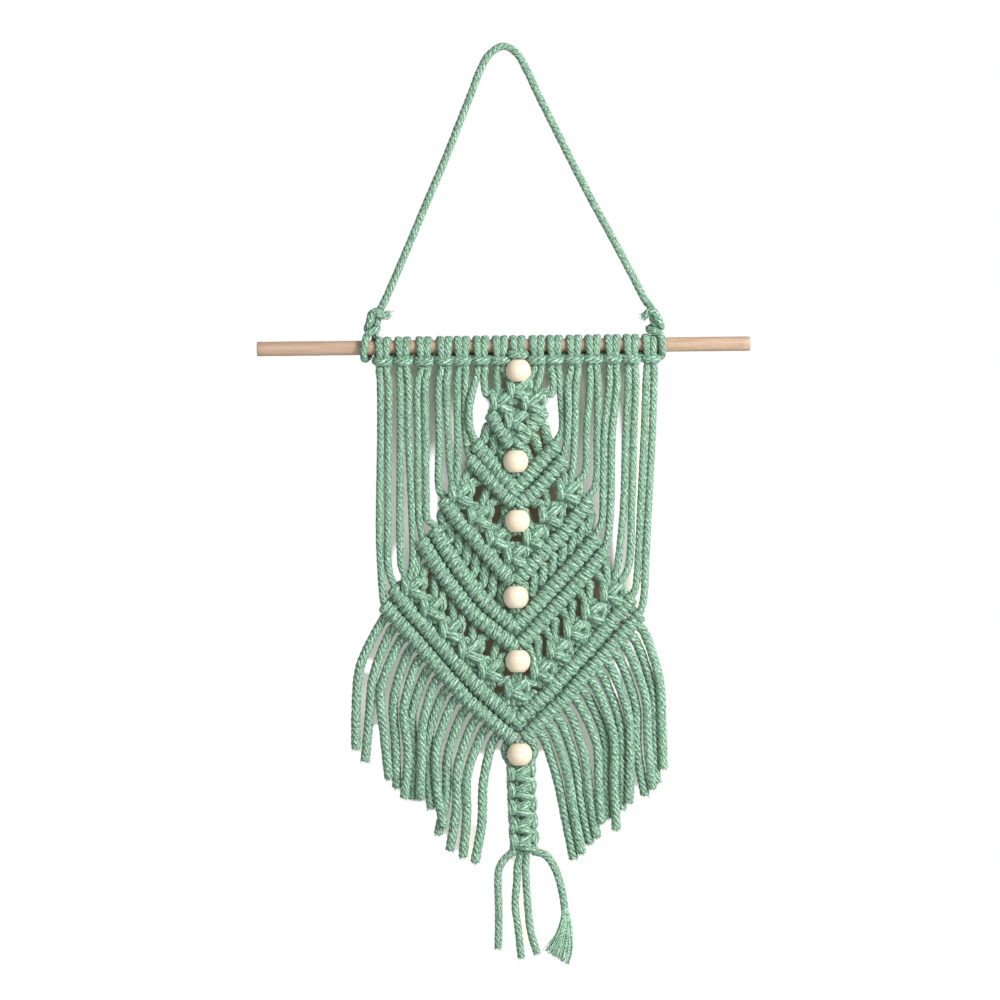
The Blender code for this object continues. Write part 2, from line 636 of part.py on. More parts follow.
def sinnet(finish):
    knots, cords = Shells(), Shells()
    for x, z in SINNET_KNOTS:
        square_knot_shape(knots, at(x, z, 0.4), SINNET_WIDTH, SINNET_KNOT_HEIGHT)
    top_x, top_z = SINNET_KNOTS[0]
    for side, inside, beside in last_bead_strands(-SPLIT):
        outwards = -1 if side == "left" else 1
        cords.rod([*inside[::-1], at(top_x + outwards * 1.2, top_z, 0.4)], CORD_IN_BEAD / 2)
        cords.rod([*beside[::-1], at(top_x + outwards * 5.6, top_z, 0.4)], CORD / 2)
    for tail in TAILS:
        path = smooth_path([at(x, z) for x, z in tail], 2)
        cords.rod(path, CORD / 2, sides=6)
    opened = [at(x, z) for x, z in FRAYED_END]
    cords.rod(opened, [CORD / 2, FRAYED_WIDTH * 0.3, FRAYED_WIDTH / 2], sides=8,
              flat=FRAYED_THICKNESS / FRAYED_WIDTH)
    return fuse("sinnet", knots, cords, finish, MOST_FACES["sinnet"], [bead(BEADS[-1], finish, ROOM)])


def hanging_cord(finish):
    """One smooth tube over the hook, tie to tie."""
    path = smooth_path([Vector((x, 0, z)) for x, z in HANGING_CORD], 2)
    curve = bpy.data.curves.new("hanging_cord", "CURVE")
    curve.dimensions = "3D"
    curve.bevel_depth = CORD / 2 * MM
    curve.bevel_resolution = 2
    curve.use_fill_caps = True
    spline = curve.splines.new("POLY")
    spline.points.add(len(path) - 1)
    for point, place in zip(spline.points, path):
        point.co = (*(place * MM), 1.0)
    return place_mesh("hanging_cord", curve, finish)


# Each tie: the foot of its loop on the dowel, its knot, and the short free end.
Tie = namedtuple("Tie", "side loop_x knot end_tip")
TIES = (
    Tie("left", -87.0, (-79.6, -163.0), (-70.8, -160.6)),
    Tie("right", 95.6, (88.6, -163.6), (82.6, -163.0)),
)


def tie(place, finish):
    """The cord's end: round the dowel, knotted over itself, with a short free end."""
    turns, knot = Shells(), Shells()
    outwards = -1 if place.side == "left" else 1
    step = 30
    cord = CORD_IN_KNOT / 2
    reach = (DOWEL_DIAMETER / 2 + GAP + cord + 0.35) / math.cos(math.radians(step / 2))
    x, z = place.knot
    neck = Vector((x + outwards * 4.6, 0, z - 6.2))
    loop = [neck + Vector((-outwards * 0.8, -1.6, 2.4)), neck + Vector((0, -3.0, 0))]
    for turn in range(-step, 211, step):
        angle = math.radians(turn)
        loop.append(Vector((place.loop_x, -reach * math.cos(angle), DOWEL_Z - reach * math.sin(angle))))
    loop += [neck + Vector((0, 3.0, 0)), neck + Vector((-outwards * 0.8, 1.6, 2.4))]
    turns.rod(loop, cord + 0.1, sides=6)
    for low, wide in ((-3.2, 5.0), (-0.4, 4.6), (2.6, 4.0)):
        middle = Vector((x - outwards * low * 0.35, 0, z + low))
        knot.rod([middle - Vector((wide, 0, 1.2)), middle, middle + Vector((wide, 0, 1.2))],
                 [2.0, 3.4, 2.0], sides=6, flat=0.85)
    knot.rod([Vector((x, 0, z + 4.0)), neck], 2.7, sides=6)
    tip_x, tip_z = place.end_tip
    knot.rod([Vector((x, -1.0, z)), Vector((tip_x, -1.5, tip_z))], [cord, CORD / 2], sides=6)
    return fuse("tie_" + place.side, turns, knot, finish, MOST_FACES["tie"])


def build():
    clear_scene()
    cotton = finish_of("mint cotton cord", MINT, 0.9)
    dowel(finish_of("beech dowel", BEECH, 0.55))
    wood = finish_of("pale bead wood", PALE_WOOD, 0.4)
    for place in BEADS:
        bead(place, wood)
    panel(cotton)
    sinnet(cotton)
    for side in ("left", "right"):
        fringe(side, cotton)
    hanging_cord(cotton)
    for place in TIES:
        tie(place, cotton)


build()
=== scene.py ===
"""The looks of a macrame wall hanging: thirty strands of twisted cotton cord, looped on a dowel and
knotted one by one down to the fringe, with wooden beads and a hanging cord.

Sizes are in millimetres, with x to the right and z upwards, as in the part's own source, and the
meshes are made in metres. The front faces -Y.
"""

import math
import random
from collections import namedtuple

import bpy
import numpy as np
from mathutils import Matrix, Vector
from mathutils.kdtree import KDTree


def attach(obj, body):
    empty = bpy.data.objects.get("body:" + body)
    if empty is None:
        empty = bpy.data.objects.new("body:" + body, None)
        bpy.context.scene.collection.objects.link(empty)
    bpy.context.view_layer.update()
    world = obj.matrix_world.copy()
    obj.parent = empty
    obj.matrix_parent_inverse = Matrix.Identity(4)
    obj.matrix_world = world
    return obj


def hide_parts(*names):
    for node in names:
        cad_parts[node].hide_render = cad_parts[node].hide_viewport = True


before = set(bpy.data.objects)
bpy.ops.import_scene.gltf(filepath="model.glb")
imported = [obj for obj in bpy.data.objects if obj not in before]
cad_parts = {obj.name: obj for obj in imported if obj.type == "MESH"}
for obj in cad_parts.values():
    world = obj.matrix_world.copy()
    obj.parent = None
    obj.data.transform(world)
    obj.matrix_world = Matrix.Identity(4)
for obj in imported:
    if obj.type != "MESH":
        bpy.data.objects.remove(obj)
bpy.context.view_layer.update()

MM = 0.001

# The cord: four plies laid in S twist, with their fibres leaning less than the plies do.
CORD = 4.4
PLIES = 4
LAY = 14.4  # one whole turn of the twist
LAY_ROUND_CORE = 22.0  # where a wrap round a core takes twist out of it
FIBRE_LEAN = 0.5  # as a share of the plies' own
RING_STEP = 1.0  # between two rings of the mesh
PLY_PROFILE = (0.84, 0.97, 1.0, 0.97)  # the cord's radius round one ply, from the groove on
CROWN = 2.4  # the radius over the plies, of a cord that measures 4.4 across on average
LOOSE_CROWN = 3.2  # between two bars, where the plies open a little
LOOSE_BACK = 3.4  # and how far it lies behind the bars there
FRINGE_CROWN = 3.0
TIGHT = (1.7, 2.3)  # a cord of the first radius shows its plies least, and of the second in full
CORE_RADIUS = 1.7  # a strand squeezed as the core of a bar
FILLER_RADIUS = 2.2  # and as a filler of a square knot
FILLER_OUT, FILLER_REACH, FILLER_FORWARD = 1.7, 7.2, -0.2  # where a filler comes to the knot and leaves it
FILLER_IN = 1.35  # and how far aside it lies within
KNOT_FORWARD = 0.4  # how far a square knot lies before the sheet
KNOT_SWELL = 1.2  # how much fuller the cord lies in a square knot's leaves than drawn in below
KNOT_FLAT = 0.86  # how flat those leaves are pressed
LAY_IN_KNOT = 40.0  # and their lay, with most of the twist gone
BEAD_CORD_RADIUS = 1.3  # and where two strands share a bead's hole
WRAP_FLAT = 0.70  # how flat a wrap is pressed on its core
WRAP_RADIUS = 0.56  # of the pitch between two wraps
WRAP_SINK = 0.92  # how much of its flattened radius a wrap stands off the core
HITCH_LEAD = 2.4  # how far above and below its wraps a strand comes and goes
HITCH_EASE = 0.7  # how much further out a wrap begins and ends
BAR_FORWARD = 0.8  # how far a bar's axis lies before the sheet
CORE_BEFORE, CORE_ABOVE, CORE_BEHIND = 3.4, 1.4, 0.8  # where a strand turns into a core, from its first wrap
CORE_ONWARDS, CORE_SAG = 0.9, 0.6  # and where it leaves: in pitches past the last wrap, and down
LOOP_CROWN = 2.5  # the widest of a loop on the dowel
LOOP_FLAT = 0.5  # and how flat it is pressed
PLY_WIDTH = math.pi * CORD / PLIES  # round the cord, and the unit of the cords' UV maps

# The dowel and the beads.
DOWEL_LENGTH, DOWEL_DIAMETER = 300.0, 8.8
DOWEL_X, DOWEL_Z = -2.0, -180.4
BEAD_DIAMETER, BEAD_HEIGHT, BEAD_HOLE = 15.4, 13.4, 6.0
BEAD_FORWARD = 2.6
BEAD_TURN = 37.0  # degrees for each millimetre of height, so that no two beads show the same grain
BEHIND_BEAD = 0.6  # how far back a strand goes round a bead, as a share of its way round

# How far the sheet of strands stands in front of the dowel's axis, by height.
SHEET_DEPTH = ((-184.0, 6.8), (-205.0, 6.6), (-250.0, 4.8), (-300.0, 4.0), (-560.0, 4.0))

# The fifteen lark's heads, left to right.
HEAD_X = (-75.3, -63.2, -50.4, -37.9, -27.3, -15.7, -4.1, 6.5, 18.4, 29.0, 40.9, 52.4, 64.3, 75.6, 87.1)
MIDDLE_HEAD = 7
MIDDLE_HEAD_LIFT = 3.2  # its bar sits higher, for the bead right below
HEAD_SPREAD = 2.15  # how far either half of the cord lies from a head's middle
HEAD_BAR_DROP = 9.2  # how far below the dowel's axis the bar across a head lies
# That bar from its middle outwards: out, forward of the loop, up, and how much it swells.
HEAD_BAR = ((0.5, 4.2, 0.0, 1.06), (3.2, 3.2, 0.1, 1.06), (4.8, -0.6, 1.2, 0.9))
PER_SIDE = 15  # strands on each side; place 0 is the outermost and place 14 the middle one
PANEL_PIECES = ("left_cords", "middle_cords", "inner_cords", "right_cords")
SHARE_AT = (5, 8, 10)  # the heads at which the next of them begins

# Each V-shaped bar: the place of its core, the points (x, z) that each arm's axis passes, and whether the
# left core is hitched over the right one at the end.
VBar = namedtuple("VBar", "core left right closed")
BAR_A = VBar(11, ((-9.5, -222.7), (0.6, -239.6)), ((20.3, -221.2), (6.0, -239.6)), False)
BAR_B1 = VBar(10, ((-18.8, -241.2), (1.2, -264.6)), ((28.3, -242.0), (3.2, -268.6)), True)
BAR_B2 = VBar(
    9, ((-22.4, -249.6), (2.1, -275.6)),
    ((32.7, -250.6), (26.3, -258.4), (16.5, -268.7), (6.3, -276.5)), False)
BAR_C = VBar(
    6, ((-38.7, -274.7), (-32.1, -284.3), (-21.6, -296.5), (-11.4, -308.5), (0.4, -322.7)),
    ((48.3, -275.7), (40.6, -285.1), (32.0, -295.6), (24.9, -302.2), (15.1, -311.9), (5.2, -322.1)), False)
BAR_D1 = VBar(
    5, ((-44.7, -292.9), (-38.5, -303.7), (-31.3, -314.4), (-19.9, -330.0), (-13.3, -337.8), (1.1, -349.7)),
    ((52.3, -298.3), (45.7, -306.4), (38.4, -314.3), (29.1, -324.2), (13.7, -341.1), (3.1, -350.1)), False)
BAR_D2 = VBar(
    4, ((-52.3, -299.5), (-45.8, -310.6), (-38.6, -321.3), (-27.2, -336.6), (-20.6, -344.4), (2.3, -362.8)),
    ((57.1, -307.2), (48.9, -316.8), (40.3, -326.4), (31.1, -335.8), (15.7, -352.0), (7.5, -360.5)), False)
BAR_E1 = VBar(
    1, ((-69.7, -328.0), (-63.2, -337.8), (-49.5, -352.9), (-29.5, -376.8), (-19.5, -388.2), (0.0, -406.0)),
    ((73.5, -335.6), (65.5, -344.1), (53.1, -358.8), (30.5, -383.2), (20.2, -393.8), (3.0, -408.5)), True)
BAR_E2 = VBar(
    0, ((-75.3, -338.2), (-56.7, -359.4), (-36.7, -383.1), (-26.6, -394.8), (-14.9, -405.2), (0.5, -418.8)),
    ((78.3, -345.7), (66.8, -358.1), (42.0, -384.6), (32.6, -395.5), (21.5, -405.3), (9.0, -417.7)), False)

# The square knots: which side's strands they tie, the outermost place of the four, and the centre.
SquareKnot = namedtuple("SquareKnot", "side place x z")
TOP_KNOTS = (
    SquareKnot("middle", 13, 6.6, -207.6),
    SquareKnot("left", 11, -3.9, -215.4),
    SquareKnot("right", 11, 15.2, -215.4),
    SquareKnot("middle", 13, 5.0, -226.6),
)
MIDDLE_ROW = (
    SquareKnot("left", 7, -29.5, -270.6),
    SquareKnot("left", 9, -18.1, -284.1),
    SquareKnot("left", 11, -7.3, -297.4),
    SquareKnot("right", 7, 36.2, -270.1),
    SquareKnot("right", 9, 25.2, -284.0),
    SquareKnot("right", 11, 15.2, -297.4),
    SquareKnot("middle", 13, 3.6, -308.2),
)
LOWER_ROW = (
    SquareKnot("left", 2, -58.7, -326.9),
    SquareKnot("left", 4, -47.3, -339.8),
    SquareKnot("left", 6, -35.9, -353.3),
    SquareKnot("left", 8, -24.5, -365.6),
    SquareKnot("left", 10, -12.4, -377.6),
    SquareKnot("right", 2, 61.7, -331.9),
    SquareKnot("right", 4, 50.3, -343.3),
    SquareKnot("right", 6, 39.5, -354.1),
    SquareKnot("right", 8, 29.0, -366.2),
    SquareKnot("right", 10, 19.0, -378.4),
    SquareKnot("middle", 13, 3.2, -389.8),
)

# Each bead's centre, top to bottom.
Bead = namedtuple("Bead", "name x z")
BEADS = (
    Bead("bead_1", 6.8, -195.6),
    Bead("bead_2", 4.6, -250.6),
    Bead("bead_3", 5.2, -286.8),
    Bead("bead_4", 3.8, -333.0),
    Bead("bead_5", 4.6, -371.8),
    Bead("bead_6", 5.0, -428.4),
)
PASS_ASIDE, PASS_BACK = 9.0, 2.6  # where two more strands pass the last bead, beside and behind it

# How the strands hang below the dowel, in pairs: side, place, then points as (x, z), or as (x, z, forward)
# where one lies before or behind its neighbour.
Bow = namedtuple("Bow", "side place points")
BOWS = (
    Bow("left", 0, ((-77.0, -200.0), (-77.2, -236.0), (-78.3, -275.0), (-78.5, -302.0), (-77.0, -331.0))),
    Bow("left", 1, ((-72.3, -200.0), (-72.6, -236.0), (-73.3, -275.0), (-73.2, -316.0))),
    Bow("left", 2, ((-65.0, -200.0), (-65.3, -236.0), (-66.0, -275.0), (-66.2, -298.0), (-65.4, -314.0))),
    Bow("left", 3, ((-60.3, -200.0), (-60.3, -236.0), (-59.0, -275.0), (-58.8, -312.0))),
    Bow("left", 4, ((-54.2, -200.0), (-54.8, -236.0), (-54.8, -273.0), (-54.0, -288.0))),
    Bow("left", 5, ((-49.5, -200.0), (-50.0, -236.0), (-50.0, -273.0), (-49.6, -285.0))),
    Bow("left", 6, ((-41.4, -200.0), (-41.7, -236.0), (-41.8, -268.0))),
    Bow("left", 7, ((-36.7, -200.0), (-36.4, -230.0), (-35.1, -255.0))),
    Bow("left", 8, ((-30.1, -200.0), (-30.5, -224.0), (-30.4, -245.0))),
    Bow("left", 9, ((-25.4, -200.7), (-26.2, -219.0, -2.2), (-26.0, -228.0, -2.2), (-24.9, -240.0, -0.8))),
    Bow("left", 10, ((-18.3, -198.0), (-20.9, -206.8, 0.8), (-23.3, -219.0, 0.9), (-22.7, -231.0, 0.4))),
    Bow("left", 11, ((-14.1, -198.0), (-12.4, -210.0))),
    Bow("right", 0, ((89.1, -202.0), (87.6, -236.0), (85.2, -275.0), (82.9, -312.0), (81.5, -334.0))),
    Bow("right", 1, ((84.4, -202.0), (82.8, -236.0), (80.5, -275.0), (78.3, -312.0), (76.7, -328.0))),
    Bow("right", 2, ((78.1, -202.0), (76.4, -236.0), (74.9, -275.0), (72.2, -316.0))),
    Bow("right", 3, ((73.5, -202.0), (71.6, -236.0), (70.1, -275.0), (67.9, -299.0), (65.9, -314.0))),
    Bow("right", 4, ((66.9, -202.0), (63.3, -236.0), (62.2, -275.0), (60.3, -296.0))),
    Bow("right", 5, ((62.2, -202.0), (58.6, -236.0), (57.5, -273.0), (56.7, -287.0))),
    Bow("right", 6, ((55.2, -202.0), (54.3, -236.0), (53.0, -265.0))),
    Bow("right", 7, ((50.5, -202.0), (48.0, -230.0), (46.1, -259.0))),
    Bow("right", 8, ((42.0, -202.0), (41.0, -226.0), (39.8, -250.0))),
    Bow("right", 9, ((37.2, -202.0, 0.2), (37.0, -220.0, 0.6), (36.0, -238.0, 0.4))),
    Bow("right", 10, ((31.6, -198.0), (32.1, -207.4, -1.2), (33.1, -220.0, -2.2), (33.0, -232.0, -1.4))),
    Bow("right", 11, ((27.9, -198.0), (26.6, -210.0))),
)

# The hanging cord's centreline, left tie to right tie.
HANGING_CORD = (
    (-74.6, -153.2), (-68.5, -139.9), (-57.6, -115.1), (-46.6, -89.7), (-37.2, -68.4), (-26.3, -41.8),
    (-19.8, -26.0), (-14.4, -12.2), (-8.4, -2.4), (0.0, 2.2), (7.6, -1.8), (14.2, -13.0),
    (20.0, -25.8), (26.6, -39.4), (39.4, -65.7), (52.0, -90.8), (64.2, -113.8), (76.7, -137.9),
    (84.6, -153.4),
)

# Each fringe strand, outermost first: x at one and two thirds of its drop, its tip, and how far back it lies.
Lock = namedtuple("Lock", "third_x two_thirds_x tip_x tip_z back")
FRINGE = {
    "left": (
        Lock(-91.2, -94.0, -94.5, -424.0, 0.0),
        Lock(-83.4, -86.2, -88.9, -431.6, 0.6),
        Lock(-79.0, -77.2, -74.6, -442.4, 0.0),
        Lock(-71.2, -70.4, -69.8, -448.0, 1.8),
        Lock(-65.0, -62.8, -65.2, -454.0, -0.8),
        Lock(-60.2, -58.6, -60.4, -455.0, 2.4),
        Lock(-53.6, -54.8, -55.8, -455.2, -1.0),
        Lock(-49.6, -50.6, -49.2, -460.6, 2.0),
        Lock(-45.2, -45.4, -41.5, -472.2, -0.8),
        Lock(-38.6, -39.8, -45.0, -476.6, 2.6),
        Lock(-32.6, -33.8, -38.0, -486.4, 0.6),
        Lock(-27.0, -27.6, -30.1, -490.6, 1.4),
        Lock(-17.2, -18.4, -22.8, -493.8, 0.0),
    ),
    "right": (
        Lock(90.2, 91.6, 92.2, -438.0, 0.0),
        Lock(86.0, 87.2, 88.2, -447.0, 2.6),
        Lock(81.8, 83.0, 85.4, -450.2, -1.2),
        Lock(76.0, 76.6, 81.0, -454.4, 1.2),
        Lock(71.2, 72.2, 71.2, -458.6, -1.6),
        Lock(66.0, 67.2, 66.9, -462.6, 1.4),
        Lock(62.0, 62.3, 63.2, -474.8, -1.6),
        Lock(56.8, 57.4, 57.6, -468.0, 2.4),
        Lock(52.0, 52.8, 54.2, -470.6, -0.8),
        Lock(44.4, 47.4, 51.4, -479.6, 0.8),
        Lock(38.8, 42.0, 47.2, -483.4, 2.6),
        Lock(33.6, 37.6, 42.0, -489.2, -1.0),
        Lock(27.8, 32.6, 37.2, -492.6, 1.0),
    ),
}

# The chain of square knots below the last bead, top to bottom, and the four tails it ends in.
SINNET_KNOTS = ((4.9, -441.0), (5.1, -451.2), (5.5, -461.8), (5.9, -472.4), (6.3, -482.4))
SINNET_KNOT_SCALE = (1.18, 0.74)  # across and up, of a square knot in the panel
TAILS = (
    ((0.6, -488.0), (-4.6, -492.0), (-8.2, -498.0), (-9.0, -506.0), (-8.7, -524.0), (-9.3, -546.0)),
    ((4.6, -490.0), (3.0, -496.0), (2.4, -506.0), (1.3, -520.0), (2.8, -533.0), (4.6, -552.0)),
    ((8.4, -490.0), (7.8, -497.0), (8.2, -508.0), (9.2, -524.0), (10.4, -536.0), (14.2, -549.6)),
    ((13.0, -488.0), (19.0, -489.4), (24.4, -495.6), (28.4, -506.0), (30.8, -518.0), (31.6, -526.0)),
)
# The last tail's end, opened into its yarns: its left and right edge at each height.
FAN_EDGES = (
    ((30.2, -522.0), (32.8, -522.0)), ((29.2, -529.0), (34.6, -530.0)), ((25.8, -538.0), (35.6, -541.0)),
    ((22.4, -544.0), (35.2, -550.0)), ((19.4, -547.6), (33.8, -556.4)),
)
FAN_YARNS = 64
FAN_LOOSE_SHARE = 0.3  # of the yarns, thin and wavy
FAN_YARN, FAN_THIN_YARN = 0.72, 0.34  # their radii

# Each tie, from the hanging cord down behind its knot, round the dowel, and knotted over itself up to the
# short free end, as (x, z, forward, radius).
TIES = {
    "left": (
        (-76.3, -156.3, 0.2, 2.4), (-78.0, -161.1, 0.6, 2.4), (-78.8, -165.4, 0.4, 2.3),
        (-79.8, -169.6, -0.6, 2.2), (-80.1, -173.9, -3.2, 2.2), (-81.7, -178.7, -6.6, 2.2),
        (-84.2, -185.4, -4.8, 2.2), (-86.3, -187.4, -0.6, 2.2), (-87.1, -185.4, 4.6, 2.3),
        (-86.9, -181.1, 6.8, 2.4), (-86.0, -176.9, 6.0, 2.4), (-85.0, -173.5, 4.4, 2.4),
        (-82.8, -171.1, 4.6, 2.5), (-80.1, -169.9, 3.6, 2.4), (-78.4, -168.7, 0.6, 2.2),
        (-79.8, -167.5, -2.8, 2.0), (-82.8, -168.4, -3.4, 2.0), (-85.0, -169.0, 0.0, 2.3),
        (-83.2, -165.3, 2.4, 2.6), (-81.8, -160.5, 3.0, 2.8), (-79.1, -158.6, 3.8, 2.7),
        (-76.6, -160.4, 4.4, 2.6), (-74.2, -161.0, 3.6, 2.5), (-72.5, -160.7, 3.0, 2.9),
    ),
    "right": (
        (87.7, -157.5, 0.5, 2.5), (88.9, -162.4, 1.2, 2.7), (90.0, -167.3, 1.0, 2.6),
        (91.2, -171.5, -0.5, 2.3), (92.1, -175.8, -3.4, 2.2), (93.2, -181.3, -6.6, 2.2),
        (93.9, -186.2, -4.6, 2.2), (94.0, -187.6, -0.5, 2.2), (94.7, -185.0, 5.6, 2.3),
        (94.4, -180.7, 6.8, 2.4), (94.2, -177.0, 5.4, 2.4), (92.7, -173.7, 4.2, 2.4),
        (89.4, -172.4, 4.4, 2.5), (86.9, -171.5, 1.8, 2.3), (86.9, -170.0, -2.2, 2.0),
        (90.9, -168.8, -3.4, 2.0), (93.9, -169.7, 0.0, 2.3), (93.1, -167.0, 3.0, 2.5),
        (91.0, -163.3, 4.0, 2.7), (88.9, -160.4, 4.2, 2.7), (86.5, -160.8, 3.8, 2.5),
        (84.6, -162.5, 3.2, 2.4), (83.4, -163.3, 3.0, 2.6),
    ),
}

# Where the wall behind the panel shows white: x, z, half the width and half the height.
OPENINGS = (
    (-17.7, -219.3, 4.6, 17.4), (27.5, -221.9, 4.4, 15.2), (-45.9, -267.0, 2.3, 19.5),
    (-68.9, -314.9, 2.3, 11.0), (66.4, -269.2, 2.9, 47.0), (82.4, -195.8, 1.6, 5.0),
    (64.2, -384.2, 2.4, 9.1), (72.9, -369.1, 2.4, 6.0),
)
OVAL_POWER = 2.4  # how full such an opening is: 2 is an ellipse

# The stage.
WALL_Y = 0.0116  # just behind the panel, in metres
WALL_X, WALL_Z, WALL_STEP = (-112.0, 113.0), (-572.0, -181.0), 1.0  # the grid that the painted shade is laid on
SHADE_EDGE = 1.2  # how wide the painted shade's soft edge is
DEEP_EDGE, DEEP_START = 8.0, 0.3  # how wide the deeper painted shade behind the knots sets in, and where it begins
# Painted shade on the matt wall: olive grey behind the falls, dark brown behind the knots.
WALL_PAINTED_SHADE_FALLS = (0.74, 0.75, 0.60, 1.0)
WALL_PAINTED_SHADE_KNOTS = (0.42, 0.27, 0.19, 1.0)
PAINTED_SHADE_FADE = (-215.0, -260.0, 0.28)  # from the first height to the second the painted shade fades by this share, so it is darker near the top
OPEN_GAP, OPEN_FRINGE_GAP = 7.0, 4.6  # the wall shows white where a gap is wider than this
FRINGE_TOP = -345.0
KNOTTED_AXIS, KNOTTED_TOP, KNOTTED_HALF, KNOTTED_SLOPE = 4.0, -200.0, 8.0, 0.44  # the knots' triangle, where the painted shade is deeper
FLOOR_Z = -0.62
SURROUND_FRONT, SURROUND_BACK = 0.78, 0.16  # what the white surround lights the object with
LAMPS = (
    ("key lamp", (1.3, -1.35, 0.35), 0.7, 60.0),
    ("back lamp", (0.8, 2.4, 0.8), 2.0, 30.0),
)

# The cotton's colours, from the darkest, which serves both for the dark flecks and for the painted shade in
# the grooves and between the yarns, to the lightest flecks, and those of the wood's pores and the floor.
COTTON_DARK_FLECK_AND_SHADE = (0.012, 0.058, 0.024, 1.0)
COTTON_BODY = (0.145, 0.312, 0.198, 1.0)
COTTON_PALE = (0.385, 0.525, 0.43, 1.0)
PORE_BROWN = (0.25, 0.13, 0.07, 1.0)
FLOOR_TONE = (0.86, 0.86, 0.85)

# The photograph's camera.
CAMERA_DISTANCE = 3.0
CAMERA_PLACE = (-0.00519, -CAMERA_DISTANCE, -0.2739)
PICTURE_WIDTH = 0.6085  # how wide the view is at the dowel, in metres
SENSOR_WIDTH = 36.0
CAMERA_ROLL = math.radians(0.64)

FRONT = Vector((0, -1, 0))


def place_camera():
    camera = put_in_scene("camera", bpy.data.cameras.new("camera"))
    camera.data.sensor_width = SENSOR_WIDTH
    camera.data.lens = SENSOR_WIDTH * CAMERA_DISTANCE / PICTURE_WIDTH
    camera.location = CAMERA_PLACE
    upright = Matrix.Rotation(math.pi / 2, 4, "X")
    camera.rotation_euler = (Matrix.Rotation(CAMERA_ROLL, 4, "Y") @ upright).to_euler()
    bpy.context.scene.camera = camera


def sheet_depth(z):
    """How far in front of the dowel's axis the strands hang at the height z."""
    heights = [-height for height, _ in SHEET_DEPTH]
    return float(np.interp(-z, heights, [depth for _, depth in SHEET_DEPTH]))


def at(x, z, forward=0.0):
    """A place in the sheet of strands."""
    return Vector((x, -sheet_depth(z) - forward, z))


def put_in_scene(name, data):
    """A new object of this mesh, lamp or camera, linked to the scene."""
    made = bpy.data.objects.new(name, data)
    bpy.context.scene.collection.objects.link(made)
    return made


# ---- A cord's route and the mesh laid along it ----

# A step of a route: where it is, the cord's radius there, how flat it is pressed and along which way, its
# lay, and the piece that it belongs to.
Step = namedtuple("Step", "point radius flat press lay piece")


class Route:
    """A cord's route, step by step."""

    def __init__(self, piece):
        self.steps = []
        self.piece = piece

    def to(self, point, radius=CROWN, flat=1.0, press=FRONT, lay=LAY):
        self.steps.append(Step(tuple(point), radius, flat, tuple(press), lay, self.piece))

    def last(self):
        return Vector(self.steps[-1].point)


class CordPiece:
    """Gathers the meshes of the cords that one piece is made of."""

    def __init__(self):
        self.points, self.marks, self.corners, self.sizes = [], [], [], []
        self.count = 0

    def add(self, points, faces, marks):
        """Adds points, faces as one array for each number of corners, and three marks for each corner."""
        self.points.append(points)
        for group, group_marks in zip(faces, marks):
            self.corners.append((group + self.count).ravel())
            self.sizes.append(np.full(len(group), group.shape[1]))
            self.marks.append(group_marks.reshape(-1, 3))
        self.count += len(points)

    def object(self, name, material):
        points = np.concatenate(self.points) * MM
        corners = np.concatenate(self.corners)
        sizes = np.concatenate(self.sizes)
        mesh = bpy.data.meshes.new(name)
        mesh.vertices.add(len(points))
        mesh.vertices.foreach_set("co", points.astype(np.float32).ravel())
        mesh.loops.add(len(corners))
        mesh.loops.foreach_set("vertex_index", corners.astype(np.int32))
        mesh.polygons.add(len(sizes))
        starts = np.concatenate(([0], np.cumsum(sizes)[:-1]))
        mesh.polygons.foreach_set("loop_start", starts.astype(np.int32))
        marks = np.concatenate(self.marks).astype(np.float32)
        for layer, columns in (("cord", (0, 1)), ("fibres", (2, 1))):
            mesh.uv_layers.new(name=layer).uv.foreach_set("vector", marks[:, columns].ravel())
        mesh.update(calc_edges=True)
        mesh.validate()
        mesh.shade_smooth()
        mesh.materials.append(material)
        return put_in_scene(name, mesh)


def smooth_rings(steps, ring_step=RING_STEP):
    """Even rings along a smooth curve through the steps, with each ring's radius, flatness, lay, press and
    piece."""
    points = np.array([step.point for step in steps])
    spans = np.linalg.norm(np.diff(points, axis=0), axis=1)
    keep = np.concatenate(([True], spans > 0.05))
    steps = [step for step, kept in zip(steps, keep) if kept]
    points = points[keep]
    spans = np.linalg.norm(np.diff(points, axis=0), axis=1)
    gaps = np.sqrt(spans)[:, None]
    slopes = np.diff(points, axis=0) / gaps
    middle = slopes[:-1] + slopes[1:] - (points[2:] - points[:-2]) / (gaps[:-1] + gaps[1:])
    tangents = np.concatenate((slopes[:1], middle, slopes[-1:]))
    counts = np.maximum(1, np.round(spans / ring_step)).astype(int)
    index = np.repeat(np.arange(len(spans)), counts)
    share = np.concatenate([np.arange(count) / count for count in counts])
    index, share = np.append(index, len(spans) - 1), np.append(share, 1.0)
    t = share[:, None]
    gap = gaps[index]
    rings = ((2 * t ** 3 - 3 * t ** 2 + 1) * points[index] + (t ** 3 - 2 * t ** 2 + t) * gap * tangents[index]
             + (3 * t ** 2 - 2 * t ** 3) * points[index + 1] + (t ** 3 - t ** 2) * gap * tangents[index + 1])
    values = np.array([(step.radius, step.flat, step.lay, *step.press) for step in steps])
    blended = values[index] * (1 - t) + values[index + 1] * t
    presses = blended[:, 3:]
    presses = presses / np.maximum(np.linalg.norm(presses, axis=1), 1e-6)[:, None]
    pieces = [steps[i if s < 0.5 else i + 1].piece for i, s in zip(index, share)]
    return rings, *blended[:, :3].T, presses, pieces


def unit(vectors):
    return vectors / np.maximum(np.linalg.norm(vectors, axis=-1), 1e-9)[..., None]


